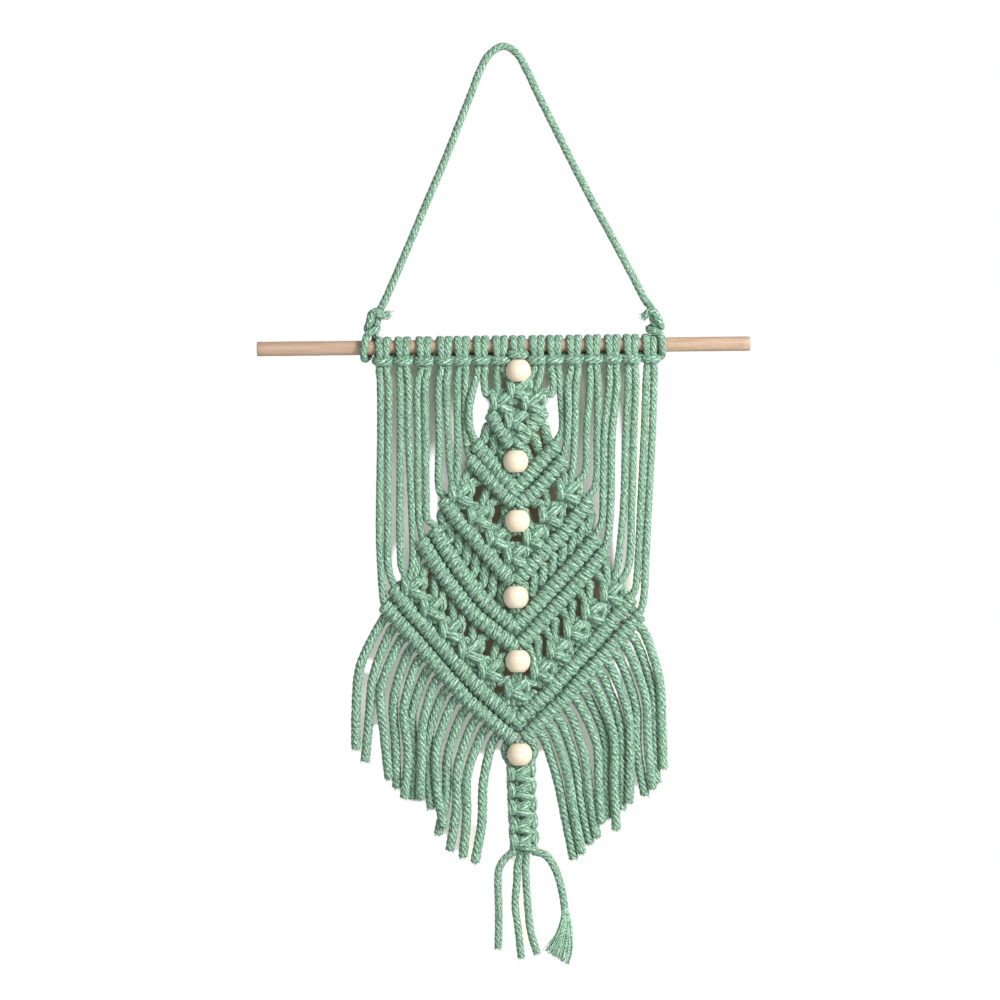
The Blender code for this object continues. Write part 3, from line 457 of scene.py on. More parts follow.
def carried_frames(rings):
    """The tangent at each ring, and a normal carried along without turning about it."""
    tangents = unit(np.gradient(rings, axis=0))
    start = np.cross(tangents[0], (0.3, 1.0, 0.2))
    normal = start / np.linalg.norm(start)
    normals = [normal]
    for here, there, along, after in zip(rings, rings[1:], tangents, tangents[1:]):
        chord = there - here
        size = chord @ chord
        turned = normal - (2 / size) * (chord @ normal) * chord
        led = along - (2 / size) * (chord @ along) * chord
        bend = after - led
        size = bend @ bend
        normal = turned if size < 1e-12 else turned - (2 / size) * (bend @ turned) * bend
        normals.append(normal)
    return tangents, np.array(normals)


def lay_cord(pieces, route, twist_from=0.0):
    """Lays the twisted cord's mesh along a route, each stretch in its own piece. Returns each ring's place
    and the piece that it belongs to."""
    rings, radii, flats, lays, presses, owners = smooth_rings(route)
    tangents, normals = carried_frames(rings)
    sides = np.cross(tangents, normals)
    spans = np.linalg.norm(np.diff(rings, axis=0), axis=1)
    run = np.concatenate(([0.0], np.cumsum(spans)))
    turns = np.concatenate(([0.0], np.cumsum(spans / lays[1:])))
    profile = np.tile(PLY_PROFILE, PLIES)
    around = np.arange(len(profile)) * 2 * math.pi / len(profile)
    angles = twist_from + around[None, :] - 2 * math.pi * turns[:, None]
    swell = 1 + 0.025 * np.sin(run * 0.55 + 3 * twist_from) + 0.02 * np.sin(run * 1.7 + 5 * twist_from)
    reach = (radii * swell)[:, None] * (1 - (1 - profile) * np.interp(radii, TIGHT, (0.6, 1.0))[:, None])
    offsets = (normals[:, None] * np.cos(angles)[..., None] + sides[:, None] * np.sin(angles)[..., None])
    offsets = offsets * reach[..., None]
    pressed = (offsets * presses[:, None]).sum(-1, keepdims=True)
    offsets = offsets - presses[:, None] * pressed * (1 - flats)[:, None, None]
    surface = rings[:, None] + offsets
    first = 0
    for i in range(1, len(rings) + 1):
        if i == len(rings) or owners[i] != owners[first]:
            last = min(i, len(rings) - 1)
            part = slice(first, last + 1)
            add_tube(pieces[owners[first]], surface[part], run[part], turns[part], twist_from,
                     float(first == 0), float(last == len(rings) - 1))
            first = i
    return rings, owners


def add_tube(piece, surface, run, turns, shift, start_dome, end_dome, first_ply=0.0, plies=PLIES):
    """One stretch of cord, closed at both ends. Its corners carry the ply that they lie on, the length
    along the cord, and the way round it that a fibre keeps to."""
    count, sides = surface.shape[:2]
    along = run / PLY_WIDTH + 7.3 * shift
    fibre = (1 - FIBRE_LEAN) * PLIES * turns

    def marks(rings, share):
        ply = first_ply + plies * share
        return np.stack((ply, along[rings], ply - fibre[rings]), axis=-1)

    ring, side = np.meshgrid(np.arange(count - 1), np.arange(sides), indexing="ij")
    after = (side + 1) % sides
    quads = np.stack(((ring + 1) * sides + side, (ring + 1) * sides + after, ring * sides + after,
                      ring * sides + side), axis=-1).reshape(-1, 4)
    quad_marks = marks(np.stack((ring + 1, ring + 1, ring, ring), axis=-1),
                       np.stack((side, side + 1, side + 1, side), axis=-1) / sides)
    middles, tips, tip_marks = [], [], []
    corners = np.arange(sides)
    for end, dome in ((0, start_dome), (count - 1, end_dome)):
        centre = surface[end].mean(axis=0)
        near = surface[1 if end == 0 else end - 1].mean(axis=0)
        middles.append(centre + (centre - near) * 0.4 * dome)
        middle = np.full(sides, count * sides + len(middles) - 1)
        edge = (corners, corners + 1) if end == 0 else (corners + 1, corners)
        tips.append(np.stack((middle, edge[0] % sides + end * sides, edge[1] % sides + end * sides), axis=-1))
        tip_marks.append(marks(np.full((sides, 3), end),
                               np.stack((np.full(sides, 1.5), *edge), axis=-1) / sides))
    points = np.concatenate((surface.reshape(-1, 3), middles))
    piece.add(points, (quads, np.concatenate(tips)),
              (quad_marks.reshape(-1, 4, 3), np.concatenate(tip_marks)))


# ---- Knots ----

class Strands:
    """Knots the thirty strands downwards, each along its own route."""

    def __init__(self):
        self.places = {side: list(range(PER_SIDE)) for side in ("left", "right")}
        self.routes = {(side, place): Route("middle_cords")
                       for side in self.places for place in range(PER_SIDE)}

    def route(self, side, place):
        return self.routes[side, self.places[side][place]]

    def four(self, knot):
        """The four strands of a square knot, left to right."""
        if knot.side == "middle":
            return [self.route("left", 13), self.route("left", 14), self.route("right", 14),
                    self.route("right", 13)]
        found = [self.route(knot.side, knot.place + i) for i in range(4)]
        return found if knot.side == "left" else found[::-1]


# How a wrap's turn moves it along the core, as shares of the pitch, by the angle it has turned.
WRAP_TURN = (130, 270, 360, 450, 630, 720, 810, 950)
WRAP_SHIFT = (-0.2, 0.03, 0.0, -0.03, 1.03, 1.0, 0.97, 1.2)


def hitch(route, first_wrap, along, upper, pitch):
    """A double half hitch: in behind the core from above, twice round it, and out behind it below."""
    front = upper.cross(along).normalized()
    if front.y > 0:
        front = -front
    radius = pitch * WRAP_RADIUS
    ring = CORE_RADIUS + radius * WRAP_FLAT * WRAP_SINK
    behind = Vector((0, 1.0, 0))
    run_up(route, first_wrap - along * pitch * 0.1 + upper * (ring + HITCH_LEAD) + behind * LOOSE_BACK,
           LOOSE_CROWN)
    for turn in range(WRAP_TURN[0], WRAP_TURN[-1] + 1, 30):
        angle = math.radians(turn)
        shift = float(np.interp(turn, WRAP_TURN, WRAP_SHIFT)) * pitch
        outward = front * math.cos(angle) + upper * math.sin(angle)
        at_ends = min(turn - WRAP_TURN[0], WRAP_TURN[-1] - turn) < 45
        reach = ring + (HITCH_EASE if at_ends else 0.0)
        route.to(first_wrap + along * shift + outward * reach, radius, WRAP_FLAT, outward, LAY_ROUND_CORE)
    route.to(first_wrap + along * pitch * 1.1 - upper * (ring + HITCH_LEAD) + behind * LOOSE_BACK,
             LOOSE_CROWN)


def run_up(route, point, radius=CROWN):
    """Brings a strand to the point, round the back of any bead in its way."""
    if route.steps:
        start = route.last()
        for place in BEADS:
            centre = at(place.x, place.z, BEAD_FORWARD)
            span = point - start
            share = (centre - start).dot(span) / max(span.length_squared, 1e-6)
            reach = BEAD_DIAMETER / 2 + CORD / 2
            if 0 < share < 1:
                off = start + span * share - centre
                if off.length < reach:
                    off.y = max(off.y, BEHIND_BEAD * reach)
                    route.to(centre + off.normalized() * reach, radius)
    route.to(point, radius)


class Axis:
    """A bar's axis through its points, walked by the length along it."""

    def __init__(self, points):
        self.points = np.array([at(x, z, BAR_FORWARD) for x, z in points])
        spans = np.linalg.norm(np.diff(self.points, axis=0), axis=1)
        self.marks = np.concatenate(([0.0], np.cumsum(spans)))
        self.length = float(self.marks[-1])

    def place(self, run):
        return Vector([float(np.interp(run, self.marks, column)) for column in self.points.T])

    def directions(self, run, reach=4.0):
        """Along the axis, and square to it upwards in the sheet."""
        along = (self.place(run + reach) - self.place(run - reach)).normalized()
        upper = FRONT.cross(along).normalized()
        return along, upper if upper.z > 0 else -upper


def tie_bar(strands, bar):
    """Ties every strand from the bar's core inwards over the core, which then joins the middle."""
    cores = {}
    for side in ("left", "right"):
        axis = Axis(getattr(bar, side))
        hitched = [strands.route(side, place) for place in range(bar.core + 1, PER_SIDE)]
        if bar.closed and side == "right":
            hitched.append(cores["left"])
        wraps = 2 * len(hitched)
        pitch = axis.length / (wraps - 1)
        core = strands.route(side, bar.core)
        along, upper = axis.directions(0.0)
        run_up(core, axis.place(0.0) - along * CORE_BEFORE + upper * CORE_ABOVE + Vector((0, CORE_BEHIND, 0)))
        for i, route in enumerate(hitched):
            hitch(route, axis.place(pitch * 2 * i), *axis.directions(pitch * (2 * i + 0.5)), pitch)
        for run in np.linspace(0, axis.length, max(3, wraps // 3)):
            core.to(axis.place(run), CORE_RADIUS)
        along = axis.directions(axis.length)[0]
        leaving = axis.place(axis.length) + along * pitch * CORE_ONWARDS
        core.to(leaving + Vector((0, 0, -CORE_SAG)), CORE_RADIUS)
        cores[side] = core
    for side in cores:
        strands.places[side].append(strands.places[side].pop(bar.core))


# The two working cords of a square knot, as (right, up, forward) from its centre, with the cord's radius.
LEFT_WORKING = (
    (-4.5, 7.4, -0.6, 2.3), (-4.6, 4.6, -0.8, 2.0), (-3.8, 2.4, 0.2, 1.9), (-1.9, 1.3, 2.4, 2.2),
    (0.6, 2.1, 3.7, 2.45), (3.0, 3.6, 3.3, 2.45), (5.0, 4.8, 1.0, 2.1), (5.4, 3.2, -1.4, 1.9),
    (4.8, 0.4, -2.4, 1.7), (5.6, -2.6, -1.0, 1.9), (5.6, -4.8, 1.2, 2.1), (3.6, -3.8, 3.3, 2.45),
    (1.0, -2.2, 3.7, 2.45), (-1.8, -1.2, 2.4, 2.2), (-3.8, -2.2, 0.2, 1.9), (-4.7, -4.4, -0.6, 2.0),
    (-4.6, -7.4, -0.4, 2.3),
)
RIGHT_WORKING = (
    (6.2, 7.4, 0.0, 2.3), (7.0, 4.2, 0.4, 2.1), (6.9, 1.4, 0.2, 1.9), (5.2, -0.1, -0.8, 1.8),
    (2.6, 0.4, -2.4, 1.8), (-0.6, 1.8, -3.2, 1.8), (-3.4, 3.8, -2.8, 1.8), (-4.9, 5.3, -0.4, 2.0),
    (-4.7, 4.0, 2.8, 2.25), (-4.3, 1.4, 3.9, 2.4), (-4.3, -1.4, 3.1, 2.25), (-4.9, -3.2, 0.0, 1.9),
    (-3.2, -2.6, -2.6, 1.8), (0.0, -2.2, -3.3, 1.8), (3.2, -3.2, -2.6, 1.8), (5.9, -4.6, -0.6, 2.0),
    (6.0, -7.4, 0.0, 2.3),
)
# In the chain of knots the right one also shows as it passes over the left one's end.
CHAIN_RIGHT_WORKING = (
    (6.2, 7.4, 0.8, 2.2), (6.4, 4.6, 2.6, 2.2), (6.3, 1.8, 2.4, 2.1), (5.2, -0.1, -0.8, 1.8),
    *RIGHT_WORKING[4:],
)


def tie_square_knot(four, centre, across=1.0, up=1.0, right_working=RIGHT_WORKING):
    """A square knot that begins over the left: two working cords round two fillers."""
    def place(u, v, forward):
        return centre + Vector((u * across, -forward, v * up))

    left, first, second, right = four
    for route, working in ((left, LEFT_WORKING), (right, right_working)):
        run_up(route, place(*working[0][:3]))
        for u, v, forward, radius in working[1:]:
            route.to(place(u, v, forward), radius * KNOT_SWELL, KNOT_FLAT, FRONT, LAY_IN_KNOT)
    for route, aside in ((first, -1), (second, 1)):
        run_up(route, place(FILLER_OUT * aside, FILLER_REACH, FILLER_FORWARD))
        for v in (3.0, 0.0, -3.0):
            route.to(place(FILLER_IN * aside, v, 0.0), FILLER_RADIUS)
        route.to(place(FILLER_OUT * aside, -FILLER_REACH, FILLER_FORWARD))


def thread_bead(strands, bead):
    """The two middle strands go side by side through the bead."""
    for side, aside in (("left", -1), ("right", 1)):
        route = strands.route(side, PER_SIDE - 1)
        for up in (BEAD_HEIGHT / 2 + 0.8, 0.0, -BEAD_HEIGHT / 2 - 0.8):
            route.to(at(bead.x + aside * BEAD_CORD_RADIUS, bead.z + up, BEAD_FORWARD), BEAD_CORD_RADIUS)


def strand_of(index):
    """The strand's side and place, by its number from left to right at the dowel."""
    return ("left", index) if index < PER_SIDE else ("right", 2 * PER_SIDE - 1 - index)


def loop_on_dowel(strands):
    """Starts each pair of strands as one cord looped on the dowel in a lark's head."""
    for head, x in enumerate(HEAD_X):
        for aside in (-1, 1):
            strand = strand_of(2 * head + (aside > 0))
            route = strands.routes[strand]
            beaded = head == MIDDLE_HEAD
            drop = HEAD_BAR_DROP - (MIDDLE_HEAD_LIFT if beaded else 0.0)
            cord = LOOP_CROWN
            reach = DOWEL_DIAMETER / 2 + cord * LOOP_FLAT * 0.95
            bar_z = DOWEL_Z - drop
            for out, forward, up, swell in HEAD_BAR:
                route.to((x + aside * out, -reach - forward, bar_z + up), cord * swell)
            route.to((x + aside * 4.2, -1.0, DOWEL_Z - reach - 0.9), cord * 0.8)
            for turn in range(-60, 181, 30):
                angle = math.radians(turn)
                out = HEAD_SPREAD + 1.2 * (180 - turn) / 240
                route.to((x + aside * out, reach * math.cos(angle), DOWEL_Z + reach * math.sin(angle)), cord,
                         LOOP_FLAT, (0, math.cos(angle), math.sin(angle)))
            route.to((x + aside * HEAD_SPREAD * 0.78, -reach - 0.2, bar_z + 1.0), cord * 0.9)
            if beaded:
                continue
            route.to(at(x + aside * HEAD_SPREAD, bar_z - 6.0))
            for bow in BOWS:
                if (bow.side, bow.place) == strand:
                    for point in bow.points:
                        route.to(at(*point))


def hang_fringe(strands):
    """Leads the outer strands out from under the last bar and down to their tips."""
    for side, outwards in (("left", -1), ("right", 1)):
        for place, lock in enumerate(FRINGE[side]):
            route = strands.route(side, place)
            start = route.last()
            route.piece = side + "_fringe"
            back = Vector((0, 1.2 + lock.back, 0))
            bend = start + Vector((outwards * 2.4, 0.6, -3.6)) + back * 0.5
            route.to(bend, FRINGE_CROWN)
            depth = -sheet_depth(-500.0)
            drop = bend.z - lock.tip_z
            for x, share in ((lock.third_x, 1 / 3), (lock.two_thirds_x, 2 / 3), (lock.tip_x, 1.0)):
                route.to(Vector((x, depth, bend.z - share * drop)) + back, FRINGE_CROWN)


def tie_sinnet(strands):
    """The middle four: past and through the last bead, a chain of square knots, and the tails."""
    last = BEADS[-1]
    for side, outwards in (("left", -1), ("right", 1)):
        outer = strands.route(side, PER_SIDE - 2)
        for up in (BEAD_HEIGHT * 0.3, 0.0):
            outer.to(at(last.x + outwards * PASS_ASIDE, last.z + up, -PASS_BACK))
    thread_bead(strands, last)
    four = [strands.route("left", 13), strands.route("left", 14), strands.route("right", 14),
            strands.route("right", 13)]
    for route in four:
        route.piece = "sinnet_cords"
    for x, z in SINNET_KNOTS:
        tie_square_knot(four, at(x, z, KNOT_FORWARD), *SINNET_KNOT_SCALE, CHAIN_RIGHT_WORKING)
    for route, tail in zip(four, TAILS):
        for x, z in tail:
            route.to(at(x, z))


def knot_panel():
    strands = Strands()
    loop_on_dowel(strands)
    thread_bead(strands, BEADS[0])
    for knot in TOP_KNOTS:
        tie_square_knot(strands.four(knot), at(knot.x, knot.z, KNOT_FORWARD))
    tie_bar(strands, BAR_A)
    thread_bead(strands, BEADS[1])
    tie_bar(strands, BAR_B1)
    tie_bar(strands, BAR_B2)
    thread_bead(strands, BEADS[2])
    for knot in MIDDLE_ROW:
        tie_square_knot(strands.four(knot), at(knot.x, knot.z, KNOT_FORWARD))
    tie_bar(strands, BAR_C)
    thread_bead(strands, BEADS[3])
    tie_bar(strands, BAR_D1)
    tie_bar(strands, BAR_D2)
    thread_bead(strands, BEADS[4])
    for knot in LOWER_ROW:
        tie_square_knot(strands.four(knot), at(knot.x, knot.z, KNOT_FORWARD))
    tie_bar(strands, BAR_E1)
    tie_bar(strands, BAR_E2)
    hang_fringe(strands)
    tie_sinnet(strands)
    return strands


def lay_panel(material):
    """Lays the fifteen doubled cords, tip to tip over the dowel, and returns places along the strands, as (x,
    z).
    """
    strands = knot_panel()
    pieces = {name: CordPiece() for name in (*PANEL_PIECES, "left_fringe", "right_fringe", "sinnet_cords")}
    chance = random.Random(4)
    centres = [np.array([(bead.x + aside, bead.z) for bead in BEADS]) for aside in (-4.0, 0.0, 4.0)]
    for head in range(len(HEAD_X)):
        share = PANEL_PIECES[np.searchsorted(SHARE_AT, head, "right")]
        halves = []
        for index in (2 * head, 2 * head + 1):
            halves.append([step._replace(piece=share) if step.piece == "middle_cords" else step
                           for step in strands.routes[strand_of(index)].steps])
        rings, owners = lay_cord(pieces, halves[0][::-1] + halves[1], chance.uniform(0, 2 * math.pi))
        centres.append(rings[:, [0, 2]])
        for tip, before, owner in ((rings[0], rings[2], owners[0]), (rings[-1], rings[-3], owners[-1])):
            fray(pieces[owner], tip, tip - before, chance, width=2.3, length=2.6, count=16)
    open_fan(pieces["sinnet_cords"], chance)
    stands_for = {"left_fringe": "fringe_left", "right_fringe": "fringe_right", "sinnet_cords": "sinnet"}
    for name, piece in pieces.items():
        made = piece.object(name, material)
        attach(made, "root")
        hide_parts(stands_for.get(name, "macrame"))
    return np.concatenate(centres).tolist()


def fray(piece, tip, onwards, chance, width, length, count, thick=0.3):
    """Loose fibres at a cut end: fine tapering yarns that spread from the tip."""
    tip, onwards = np.array(tip), unit(np.array(onwards))
    across = unit(np.cross(onwards, (0.2, 1.0, 0.1)))
    through = np.cross(onwards, across)
    for _ in range(count):
        angle, out = chance.uniform(0, 2 * math.pi), math.sqrt(chance.random())
        aside = across * math.cos(angle) + through * math.sin(angle)
        start = tip + aside * out * width * 0.8 - onwards * 1.0
        reach = length * chance.uniform(0.5, 1.0)
        end = start + onwards * reach + aside * reach * (0.15 + 0.4 * out) * chance.uniform(0.3, 1.2)
        bow = np.array([chance.uniform(-0.3, 0.3) for _ in range(3)]) * reach * 0.4
        lay_yarn(piece, [start, (start + end) / 2 + bow, end], thick, chance.uniform(0, 3))


def lay_yarn(piece, points, thick, shift, sides=4):
    """One loose yarn, thinner towards its end."""
    path = smooth_rings([Step(tuple(point), thick, 1.0, (0, -1, 0), LAY, None) for point in points],
                        ring_step=1.3)[0]
    tangents, normals = carried_frames(path)
    around = np.arange(sides) * 2 * math.pi / sides
    radii = thick * np.linspace(1.0, 0.45, len(path))[:, None, None]
    offsets = (normals[:, None] * np.cos(around)[None, :, None]
               + np.cross(tangents, normals)[:, None] * np.sin(around)[None, :, None]) * radii
    run = np.concatenate(([0.0], np.cumsum(np.linalg.norm(np.diff(path, axis=0), axis=1))))
    add_tube(piece, path[:, None] + offsets, run, np.zeros_like(run), shift, 0.0, 1.0,
             first_ply=0.5, plies=0.0)


def open_fan(piece, chance):
    """The last tail's end, opened into its yarns."""
    for i in range(FAN_YARNS):
        share = (i + chance.uniform(-0.4, 0.4)) / (FAN_YARNS - 1)
        thin = chance.random() < FAN_LOOSE_SHARE * (1 - share) * 2
        deep = chance.uniform(-1.0, 1.0)
        points = []
        for step, (left, right) in enumerate(FAN_EDGES):
            down = step / (len(FAN_EDGES) - 1)
            x, z = (left[k] + (right[k] - left[k]) * min(max(share, 0), 1) for k in (0, 1))
            wave = math.sin(down * 5 + i) * 0.7 * down + (chance.uniform(-1.2, 1.2) if thin else 0) * down
            points.append(at(x + wave, z + chance.uniform(-0.8, 0.8) * down, deep * (1.6 - 0.6 * down)))
        lay_yarn(piece, points, FAN_THIN_YARN if thin else FAN_YARN, chance.uniform(0, 3), sides=5)


def tie_route(side):
    route = Route(side + "_tie")
    for x, z, forward, radius in TIES[side]:
        route.to((x, -forward, z), radius)
    return route.steps


def hang_cord(material):
    """The hanging cord over its hook, and its two ends tied on the dowel."""
    left, right = tie_route("left"), tie_route("right")
    hanging = Route("hanging_rope")
    for x, z in HANGING_CORD:
        hanging.to((x, 0.0, z))
    pieces = {name: CordPiece() for name in ("left_tie", "hanging_rope", "right_tie")}
    rings, owners = lay_cord(pieces, left[::-1] + hanging.steps + right, 0.4)
    chance = random.Random(9)
    for name, tip, before, length, count in (("left_tie", rings[0], rings[2], 4.2, 26),
                                             ("right_tie", rings[-1], rings[-3], 3.4, 22)):
        fray(pieces[name], tip, tip - before, chance, width=2.2, length=length, count=count, thick=0.34)
    made = {name: piece.object(name, material) for name, piece in pieces.items()}
    for name, node in (("left_tie", "tie_left"), ("hanging_rope", "hanging_cord"),
                       ("right_tie", "tie_right")):
        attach(made[name], "root")
        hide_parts(node)
    path = rings[[owner == "hanging_rope" for owner in owners]] * MM
    length = float(np.linalg.norm(np.diff(path, axis=0), axis=1).sum())


# ---- The wooden pieces ----

def turned(name, profile, sides, closed=True):
    """A mesh turned about Z from (radius, height) pairs that run down the outer side."""
    around = np.arange(sides) * 2 * math.pi / sides
    profile = np.array(profile)
    points = np.stack((profile[:, :1] * np.cos(around), profile[:, :1] * np.sin(around),
                       np.repeat(profile[:, 1:], sides, axis=1)), axis=-1).reshape(-1, 3)
    rows = len(profile)
    faces = []
    for row in range(rows if closed else rows - 1):
        below = (row + 1) % rows
        for side in range(sides):
            after = (side + 1) % sides
            faces.append((row * sides + side, below * sides + side,
                          below * sides + after, row * sides + after))
    if not closed:
        faces.append(tuple(range(sides)))
        faces.append(tuple(reversed(range((rows - 1) * sides, rows * sides))))
    mesh = bpy.data.meshes.new(name)
    mesh.from_pydata((points * MM).tolist(), [], faces)
    mesh.shade_smooth()
    mesh.set_sharp_from_angle(angle=math.radians(50))
    return put_in_scene(name, mesh)


def settle(made, place, turn, material, node):
    """Bakes the piece's place into its mesh, and lets it stand for its node."""
    made.data.transform(Matrix.Translation(Vector(place) * MM) @ turn)
    made.data.materials.append(material)
    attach(made, "root")
    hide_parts(node)


def turn_bead(bead, material):
    """A round bead with a softened rim at each end of its hole."""
    radius, half, hole = BEAD_DIAMETER / 2, BEAD_HEIGHT / 2, BEAD_HOLE / 2
    first = math.asin((hole + 0.8) / radius)
    profile = [(hole, half * 0.6), (hole, half - 0.5), (hole + 0.25, half - 0.1)]
    for i in range(25):
        angle = first + (math.pi - 2 * first) * i / 24
        profile.append((radius * math.sin(angle), half * math.cos(angle) / math.cos(first)))
    profile += [(hole + 0.25, 0.1 - half), (hole, 0.5 - half), (hole, -half * 0.6)]
    made = turned("wood_" + bead.name, profile, 56)
    turn = Matrix.Rotation(math.radians(BEAD_TURN * bead.z), 4, "Z")
    settle(made, at(bead.x, bead.z, BEAD_FORWARD), turn, material, bead.name)


def turn_dowel(material):
    """The dowel, sawn square at the ends, with its edges just broken."""
    radius, half = DOWEL_DIAMETER / 2, DOWEL_LENGTH / 2
    edge = [(radius * 0.5, half), (radius - 0.5, half), (radius - 0.15, half - 0.15), (radius, half - 0.5)]
    profile = list(edge)
    for i in range(1, 60):
        height = half - DOWEL_LENGTH * i / 60
        profile.append((radius + 0.03 * math.sin(i * 1.7) + 0.02 * math.sin(i * 0.6), height))
    profile += [(out, -height) for out, height in reversed(edge)]
    made = turned("beech_rod", profile, 48, closed=False)
    settle(made, (DOWEL_X, 0, DOWEL_Z), Matrix.Rotation(math.pi / 2, 4, "Y"), material, "dowel")


# ---- Materials ----

class Nodes:
    """Places and joins the nodes of a material or a group."""

    def __init__(self, tree):
        self.tree = tree

    def add(self, kind, values=(), **settings):
        node = self.tree.nodes.new(kind)
        for name, value in settings.items():
            setattr(node, name, value)
        for name, value in dict(values).items():
            self.feed(node.inputs[name], value)
        return node

    def feed(self, socket, value):
        """Joins an output to the input, or sets a plain value on it."""
        if isinstance(value, bpy.types.NodeSocket):
            self.tree.links.new(value, socket)
        else:
            socket.default_value = value

    def math(self, operation, *values):
        node = self.tree.nodes.new("ShaderNodeMath")
        node.operation = operation
        for socket, value in zip(node.inputs, values):
            self.feed(socket, value)
        return node.outputs[0]

    def ramp(self, value, low, high, to_low=0.0, to_high=1.0):
        node = self.add("ShaderNodeMapRange", interpolation_type="SMOOTHSTEP")
        for name, given in (("Value", value), ("From Min", low), ("From Max", high),
                            ("To Min", to_low), ("To Max", to_high)):
            self.feed(node.inputs[name], given)
        return node.outputs[0]

    def mix(self, share, first, second, blend="MIX"):
        node = self.add("ShaderNodeMix", data_type="RGBA", blend_type=blend)
        self.feed(node.inputs[0], share)
        self.feed(node.inputs[6], first)
        self.feed(node.inputs[7], second)
        return node.outputs[2]

    def noise(self, vector, scale, detail=2.0, roughness=0.5):
        node = self.add("ShaderNodeTexNoise")
        for name, value in (("Vector", vector), ("Scale", scale), ("Detail", detail),
                            ("Roughness", roughness)):
            self.feed(node.inputs[name], value)
        return node.outputs[0]

    def from_middle(self, value):
        """How far a value is from the middle of its unit: 0 in the middle and 1 at either end."""
        off = self.math("ABSOLUTE", self.math("SUBTRACT", self.math("FRACT", value), 0.5))
        return self.math("MULTIPLY", off, 2.0)


def group_of(name, inputs, outputs):
    """An empty shader node group with the named float or colour sockets."""
    group = bpy.data.node_groups.new(name, "ShaderNodeTree")
    for socket_name, default in inputs:
        kind = "NodeSocketFloat" if isinstance(default, float) else "NodeSocketColor"
        socket = group.interface.new_socket(socket_name, in_out="INPUT", socket_type=kind)
        socket.default_value = default
    for socket_name, kind in outputs:
        group.interface.new_socket(socket_name, in_out="OUTPUT", socket_type=kind)
    nodes = Nodes(group)
    return group, nodes, nodes.add("NodeGroupInput"), nodes.add("NodeGroupOutput")


def cotton_yarn_group():
    """Painted shade in the grooves between the plies and in fine dark lines between their yarns, and light
    and dark flecks. One UV map counts plies round the cord, the other follows the fibres, both with the ply's
    width along the cord. Yarns is how many yarns show side by side on one ply."""
    group, nodes, given, made = group_of(
        "heathered cotton with painted groove shade",
        (("Dark Fleck And Shade", (0.1, 0.3, 0.2, 1.0)), ("Body", (0.25, 0.5, 0.35, 1.0)), ("Pale", (0.5, 0.7, 0.6, 1.0)),
         ("Yarns", 2.0), ("Painted Groove Shade", 0.5)),
        (("Color", "NodeSocketColor"), ("Height", "NodeSocketFloat")))
    uv = nodes.add("ShaderNodeUVMap", uv_map="cord").outputs[0]
    round_cord = nodes.add("ShaderNodeSeparateXYZ", {0: uv}).outputs[0]
    fibre_uv = nodes.add("ShaderNodeUVMap", uv_map="fibres").outputs[0]
    fibre_parts = nodes.add("ShaderNodeSeparateXYZ", {0: fibre_uv})
    straight, along = fibre_parts.outputs[0], fibre_parts.outputs[1]
    # Painted shade: the colour darkens towards the grooves between the plies.
    painted_groove_shade = nodes.ramp(nodes.from_middle(round_cord), 0.5, 0.95)

    def stretched(across, lengthways, shift):
        return nodes.add("ShaderNodeCombineXYZ", {
            0: nodes.math("MULTIPLY", straight, across), 1: nodes.math("MULTIPLY", along, lengthways),
            2: shift}).outputs[0]

    flecks = nodes.noise(stretched(6.0, 2.2, 0.0), 1.0, 1.0)
    specks = nodes.noise(stretched(8.0, 4.4, 5.0), 1.0, 0.0)
    tufts = nodes.noise(stretched(1.4, 0.5, 9.0), 1.0, 1.0)
    pale = nodes.mix(nodes.ramp(flecks, 0.42, 0.60), given.outputs["Body"], given.outputs["Pale"])
    wandering = nodes.math("ADD", nodes.math("MULTIPLY", straight, given.outputs["Yarns"]), tufts)
    # Painted shade: fine dark lines between the yarns, broken up by the specks.
    between = nodes.math("MULTIPLY", nodes.ramp(nodes.from_middle(wandering), 0.48, 0.88),
                         nodes.ramp(specks, 0.66, 0.40, 0.35, 1.0))
    # The dark flecks are the cotton's own colour; the yarn lines joined to them here are painted shade.
    dark = nodes.math("MAXIMUM", nodes.math("MULTIPLY", nodes.ramp(flecks, 0.43, 0.33), 0.7), between)
    flecked_and_line_shaded = nodes.mix(nodes.math("MULTIPLY", dark, 0.8), pale, given.outputs["Dark Fleck And Shade"])
    # The painted shade of the grooves, laid over the flecks.
    groove_shaded = nodes.mix(nodes.math("MULTIPLY", painted_groove_shade, given.outputs["Painted Groove Shade"]), flecked_and_line_shaded,
                      given.outputs["Dark Fleck And Shade"])
    lit = nodes.add("ShaderNodeVectorMath", {0: groove_shaded}, operation="SCALE")
    nodes.feed(lit.inputs["Scale"], nodes.ramp(tufts, 0.3, 0.7, 0.88, 1.1))
    nodes.feed(made.inputs["Color"], lit.outputs[0])
    nodes.feed(made.inputs["Height"], nodes.math("ADD", flecks, nodes.math("MULTIPLY", specks, 0.7)))
    return group


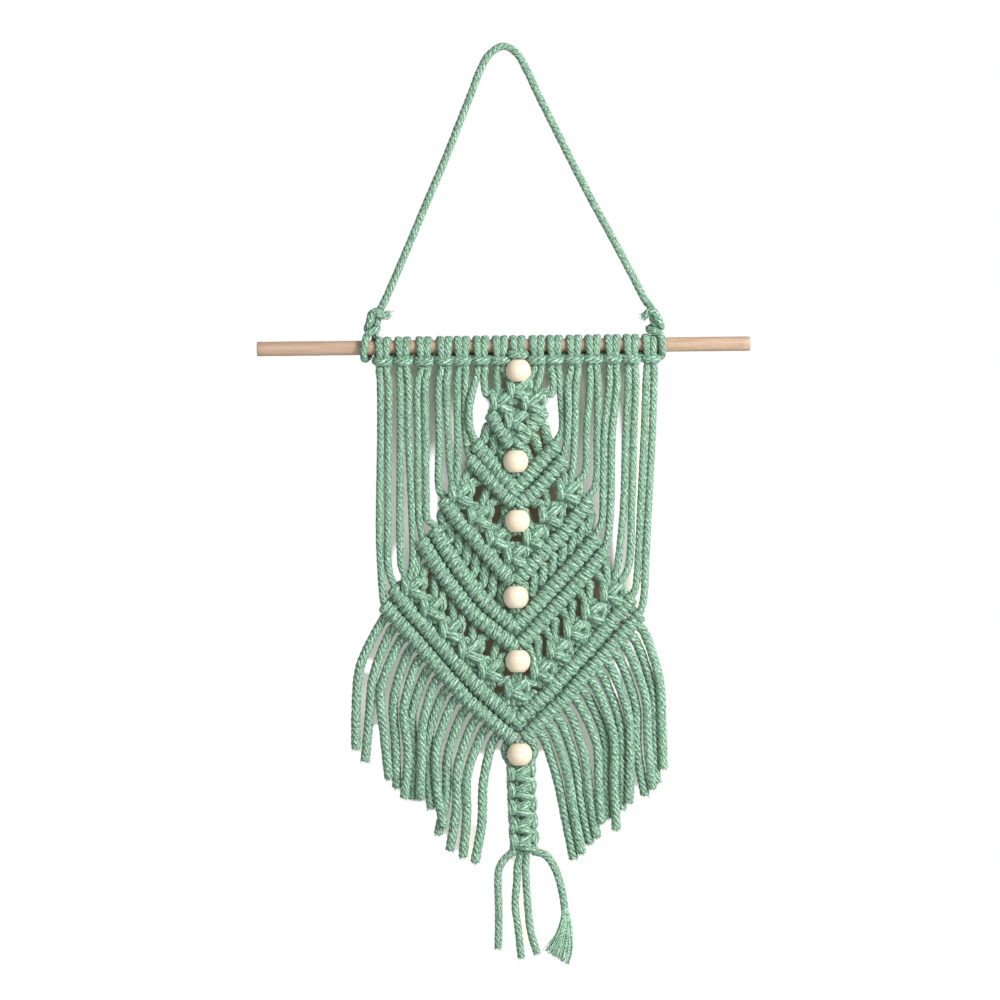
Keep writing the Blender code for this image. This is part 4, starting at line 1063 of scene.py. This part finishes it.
def wood_grain_group():
    """Long streaks of grain along one axis, with fine dark pores."""
    group, nodes, given, made = group_of(
        "wood grain",
        (("Early Wood", (0.7, 0.5, 0.3, 1.0)), ("Late Wood", (0.5, 0.3, 0.2, 1.0)), ("Streak Width", 1.0),
         ("Pore Share", 0.3)),
        (("Color", "NodeSocketColor"), ("Height", "NodeSocketFloat")))
    place = nodes.add("ShaderNodeTexCoord").outputs["Object"]
    parts = nodes.add("ShaderNodeSeparateXYZ", {0: place})
    per_metre = nodes.math("DIVIDE", 1000.0, given.outputs["Streak Width"])

    def along_grain(stretch, shift):
        return nodes.add("ShaderNodeCombineXYZ", {
            0: nodes.math("MULTIPLY", parts.outputs[0], nodes.math("DIVIDE", per_metre, stretch)),
            1: nodes.math("ADD", nodes.math("MULTIPLY", parts.outputs[1], per_metre), shift),
            2: nodes.math("MULTIPLY", parts.outputs[2], per_metre)}).outputs[0]

    streaks = nodes.noise(along_grain(14.0, 0.0), 0.8, 3.0, 0.6)
    pores = nodes.noise(along_grain(7.0, 40.0), 3.2, 1.0)
    bands = nodes.noise(along_grain(60.0, 90.0), 0.25, 1.0)
    late = given.outputs["Late Wood"]
    colour = nodes.mix(nodes.ramp(streaks, 0.35, 0.7), given.outputs["Early Wood"], late)
    colour = nodes.mix(nodes.math("MULTIPLY", nodes.ramp(bands, 0.4, 0.65), 0.35), colour, late)
    pore = nodes.ramp(pores, 0.60, 0.72)
    pored = nodes.mix(nodes.math("MULTIPLY", pore, given.outputs["Pore Share"]), colour, PORE_BROWN)
    nodes.feed(made.inputs["Color"], pored)
    nodes.feed(made.inputs["Height"], nodes.math("SUBTRACT", streaks, pore))
    return group


def finish_with(name, group, values, shader_values, bump_strength, bump_distance):
    """A material whose colour and bump come from the group, with the shader's own sockets set plainly."""
    material = bpy.data.materials.new(name)
    material.use_nodes = True
    nodes = Nodes(material.node_tree)
    shader = material.node_tree.nodes["Principled BSDF"]
    source = nodes.add("ShaderNodeGroup", node_tree=group)
    for socket, value in values.items():
        source.inputs[socket].default_value = value
    bump = nodes.add("ShaderNodeBump", {"Height": source.outputs["Height"], "Strength": bump_strength,
                                        "Distance": bump_distance})
    nodes.feed(shader.inputs["Base Color"], source.outputs["Color"])
    nodes.feed(shader.inputs["Normal"], bump.outputs[0])
    for socket, value in shader_values.items():
        shader.inputs[socket].default_value = value
    return material


def plain_material(name, colour, roughness):
    material = bpy.data.materials.new(name)
    material.use_nodes = True
    shader = material.node_tree.nodes["Principled BSDF"]
    shader.inputs["Base Color"].default_value = (*colour, 1.0)
    shader.inputs["Roughness"].default_value = roughness
    return material


# ---- The stage ----

def wall_material():
    """White, but matt where the strands hang close in front of it, and there painted with shade: olive grey
    behind the falls, dark brown behind the knots, over the real shadows that the matt part takes. Its back is
    clear.
    """
    material = bpy.data.materials.new("wall with painted shade")
    material.use_nodes = True
    nodes = Nodes(material.node_tree)
    nodes.tree.nodes.remove(nodes.tree.nodes["Principled BSDF"])
    # The shaded and deep attributes are painted shade: the white gives way to a darker matt colour near the
    # strands, darker still behind the knots.
    shaded = nodes.add("ShaderNodeAttribute", attribute_name="shaded").outputs["Fac"]
    deep = nodes.add("ShaderNodeAttribute", attribute_name="deep").outputs["Fac"]
    shade = nodes.mix(deep, WALL_PAINTED_SHADE_FALLS, WALL_PAINTED_SHADE_KNOTS)
    matt = nodes.add("ShaderNodeBsdfDiffuse", {"Color": shade})
    white = nodes.add("ShaderNodeEmission", {"Color": (1, 1, 1, 1), "Strength": 1.0})
    front = nodes.add("ShaderNodeMixShader", {0: shaded, 1: white.outputs[0], 2: matt.outputs[0]})
    clear = nodes.add("ShaderNodeBsdfTransparent")
    facing = nodes.add("ShaderNodeNewGeometry").outputs["Backfacing"]
    whole = nodes.add("ShaderNodeMixShader", {0: facing, 1: front.outputs[0], 2: clear.outputs[0]})
    nodes.feed(nodes.tree.nodes["Material Output"].inputs["Surface"], whole.outputs[0])
    material.cycles.emission_sampling = "NONE"
    return material


def nearest_of(places):
    tree = KDTree(len(places))
    for i, place in enumerate(places):
        tree.insert(place, i)
    tree.balance()
    return tree


def raise_wall(centres):
    """A wall just behind the panel, with painted shade between the strands, darker behind the knots and
    fading lower down. centres are places along the strands, as (x, z)."""
    xs, zs = np.arange(*WALL_X, WALL_STEP), np.arange(*WALL_Z, WALL_STEP)
    grid_x, grid_z = (values.ravel() for values in np.meshgrid(xs, zs))
    strands = nearest_of([(x, 0, z) for x, z in centres])
    grid = [(float(x), 0.0, float(z)) for x, z in zip(grid_x, grid_z)]
    room = np.array([strands.find(point)[2] for point in grid]) - CORD / 2
    away = np.abs(grid_x - KNOTTED_AXIS)
    last_core = BAR_E2.right[0][0] - KNOTTED_AXIS, BAR_E2.right[0][1], BAR_E2.right[-1][1]
    above_last = grid_z - np.interp(away, (0.0, last_core[0]), (last_core[2], last_core[1]))
    inside = np.minimum(KNOTTED_HALF + KNOTTED_SLOPE * (KNOTTED_TOP - grid_z) - away, above_last)
    limit = np.where(grid_z < FRINGE_TOP, OPEN_FRINGE_GAP, OPEN_GAP) / 2
    opened = (room > limit) & (inside < 0)
    outside = nearest_of([point for point, clear in zip(grid, opened) if clear])
    from_outside = np.array([outside.find(point)[2] for point in grid]) - limit
    for x, z, half_width, half_height in OPENINGS:
        oval = ((np.abs(grid_x - x) / half_width) ** OVAL_POWER
                + (np.abs(grid_z - z) / half_height) ** OVAL_POWER) ** (1 / OVAL_POWER)
        from_outside = np.minimum(from_outside, (oval - 1) * half_width)
    # Painted shade: full where the strands stand close, none in the openings and outside the panel.
    shaded = np.clip(from_outside / SHADE_EDGE, 0.0, 1.0)
    # Painted deeper shade behind the knots.
    deep = np.clip(inside / DEEP_EDGE + DEEP_START, 0.0, 1.0)
    # The painted shade is darker near the top and fades lower down, except behind the knots.
    shade_fade = np.interp(-grid_z, (-PAINTED_SHADE_FADE[0], -PAINTED_SHADE_FADE[1]), (0.0, PAINTED_SHADE_FADE[2]))
    shaded = shaded * (1 - shade_fade * (1 - deep))
    columns, rows = len(xs), len(zs)
    corners = np.arange(columns * rows).reshape(rows, columns)
    cells = np.stack((corners[:-1, :-1], corners[:-1, 1:], corners[1:, 1:], corners[1:, :-1]), axis=-1)
    cells = cells.reshape(-1, 4)
    faces = cells[(shaded[cells] > 0).any(axis=1)].tolist()
    mesh = bpy.data.meshes.new("wall")
    mesh.from_pydata([(x * MM, WALL_Y, z * MM) for x, _, z in grid], [], faces)
    for name, values in (("shaded", shaded), ("deep", deep)):
        mesh.attributes.new(name, "FLOAT", "POINT").data.foreach_set("value", values.astype(np.float32))
    mesh.materials.append(wall_material())
    wall = put_in_scene("wall", mesh)
    wall.visible_diffuse = wall.visible_glossy = wall.visible_shadow = wall.visible_transmission = False


def lay_floor():
    mesh = bpy.data.meshes.new("floor")
    reach, back = 1.2, 0.35
    mesh.from_pydata([(-reach, -reach, FLOOR_Z), (reach, -reach, FLOOR_Z), (reach, back, FLOOR_Z),
                      (-reach, back, FLOOR_Z)], [], [(0, 1, 2, 3)])
    mesh.materials.append(plain_material("pale floor", FLOOR_TONE, 0.8))
    put_in_scene("floor", mesh)


def light_studio():
    """A pale surround that shows as white and lights the front more than the back, and soft lamps."""
    world = bpy.data.worlds.new("studio")
    bpy.context.scene.world = world
    world.use_nodes = True
    nodes = Nodes(world.node_tree)
    seen = nodes.add("ShaderNodeLightPath").outputs["Is Camera Ray"]
    way = nodes.add("ShaderNodeSeparateXYZ", {0: nodes.add("ShaderNodeTexCoord").outputs["Generated"]})
    around = nodes.ramp(way.outputs[1], -0.5, 0.5, SURROUND_FRONT, SURROUND_BACK)
    strength = nodes.math("MAXIMUM", seen, around)
    background = world.node_tree.nodes["Background"]
    nodes.feed(background.inputs["Color"], (1.0, 1.0, 1.0, 1.0))
    nodes.feed(background.inputs["Strength"], strength)
    for name, place, size, power in LAMPS:
        lamp = bpy.data.lights.new(name, "AREA")
        lamp.size, lamp.energy = size, power
        stand = put_in_scene(name, lamp)
        stand.location = place
        stand.rotation_euler = (Vector((0, 0, -0.3)) - Vector(place)).to_track_quat("-Z", "Y").to_euler()
    bpy.context.scene.view_settings.view_transform = "Standard"


place_camera()
cotton = finish_with(
    "mint cotton", cotton_yarn_group(),
    {"Dark Fleck And Shade": COTTON_DARK_FLECK_AND_SHADE, "Body": COTTON_BODY, "Pale": COTTON_PALE, "Yarns": 2.0, "Painted Groove Shade": 0.4},
    {"Roughness": 0.9, "Sheen Weight": 0.08, "Sheen Roughness": 0.4, "Sheen Tint": (0.85, 1.0, 0.92, 1.0),
     "Specular IOR Level": 0.08},
    bump_strength=0.9, bump_distance=0.0006)
beech = finish_with(
    "beech dowel", wood_grain_group(),
    {"Early Wood": (0.385, 0.277, 0.195, 1.0), "Late Wood": (0.322, 0.214, 0.14, 1.0), "Streak Width": 1.4,
     "Pore Share": 0.5},
    {"Roughness": 0.55},
    bump_strength=0.3, bump_distance=0.0002)
pale_wood = finish_with(
    "pale bead wood", wood_grain_group(),
    {"Early Wood": (0.61, 0.525, 0.405, 1.0), "Late Wood": (0.565, 0.47, 0.35, 1.0), "Streak Width": 1.8,
     "Pore Share": 0.12},
    {"Roughness": 0.55, "Coat Weight": 0.05, "Coat Roughness": 0.4},
    bump_strength=0.15, bump_distance=0.0002)
hang_cord(cotton)
centres = lay_panel(cotton)
turn_dowel(beech)
for bead in BEADS:
    turn_bead(bead, pale_wood)
raise_wall(centres)
lay_floor()
light_studio()
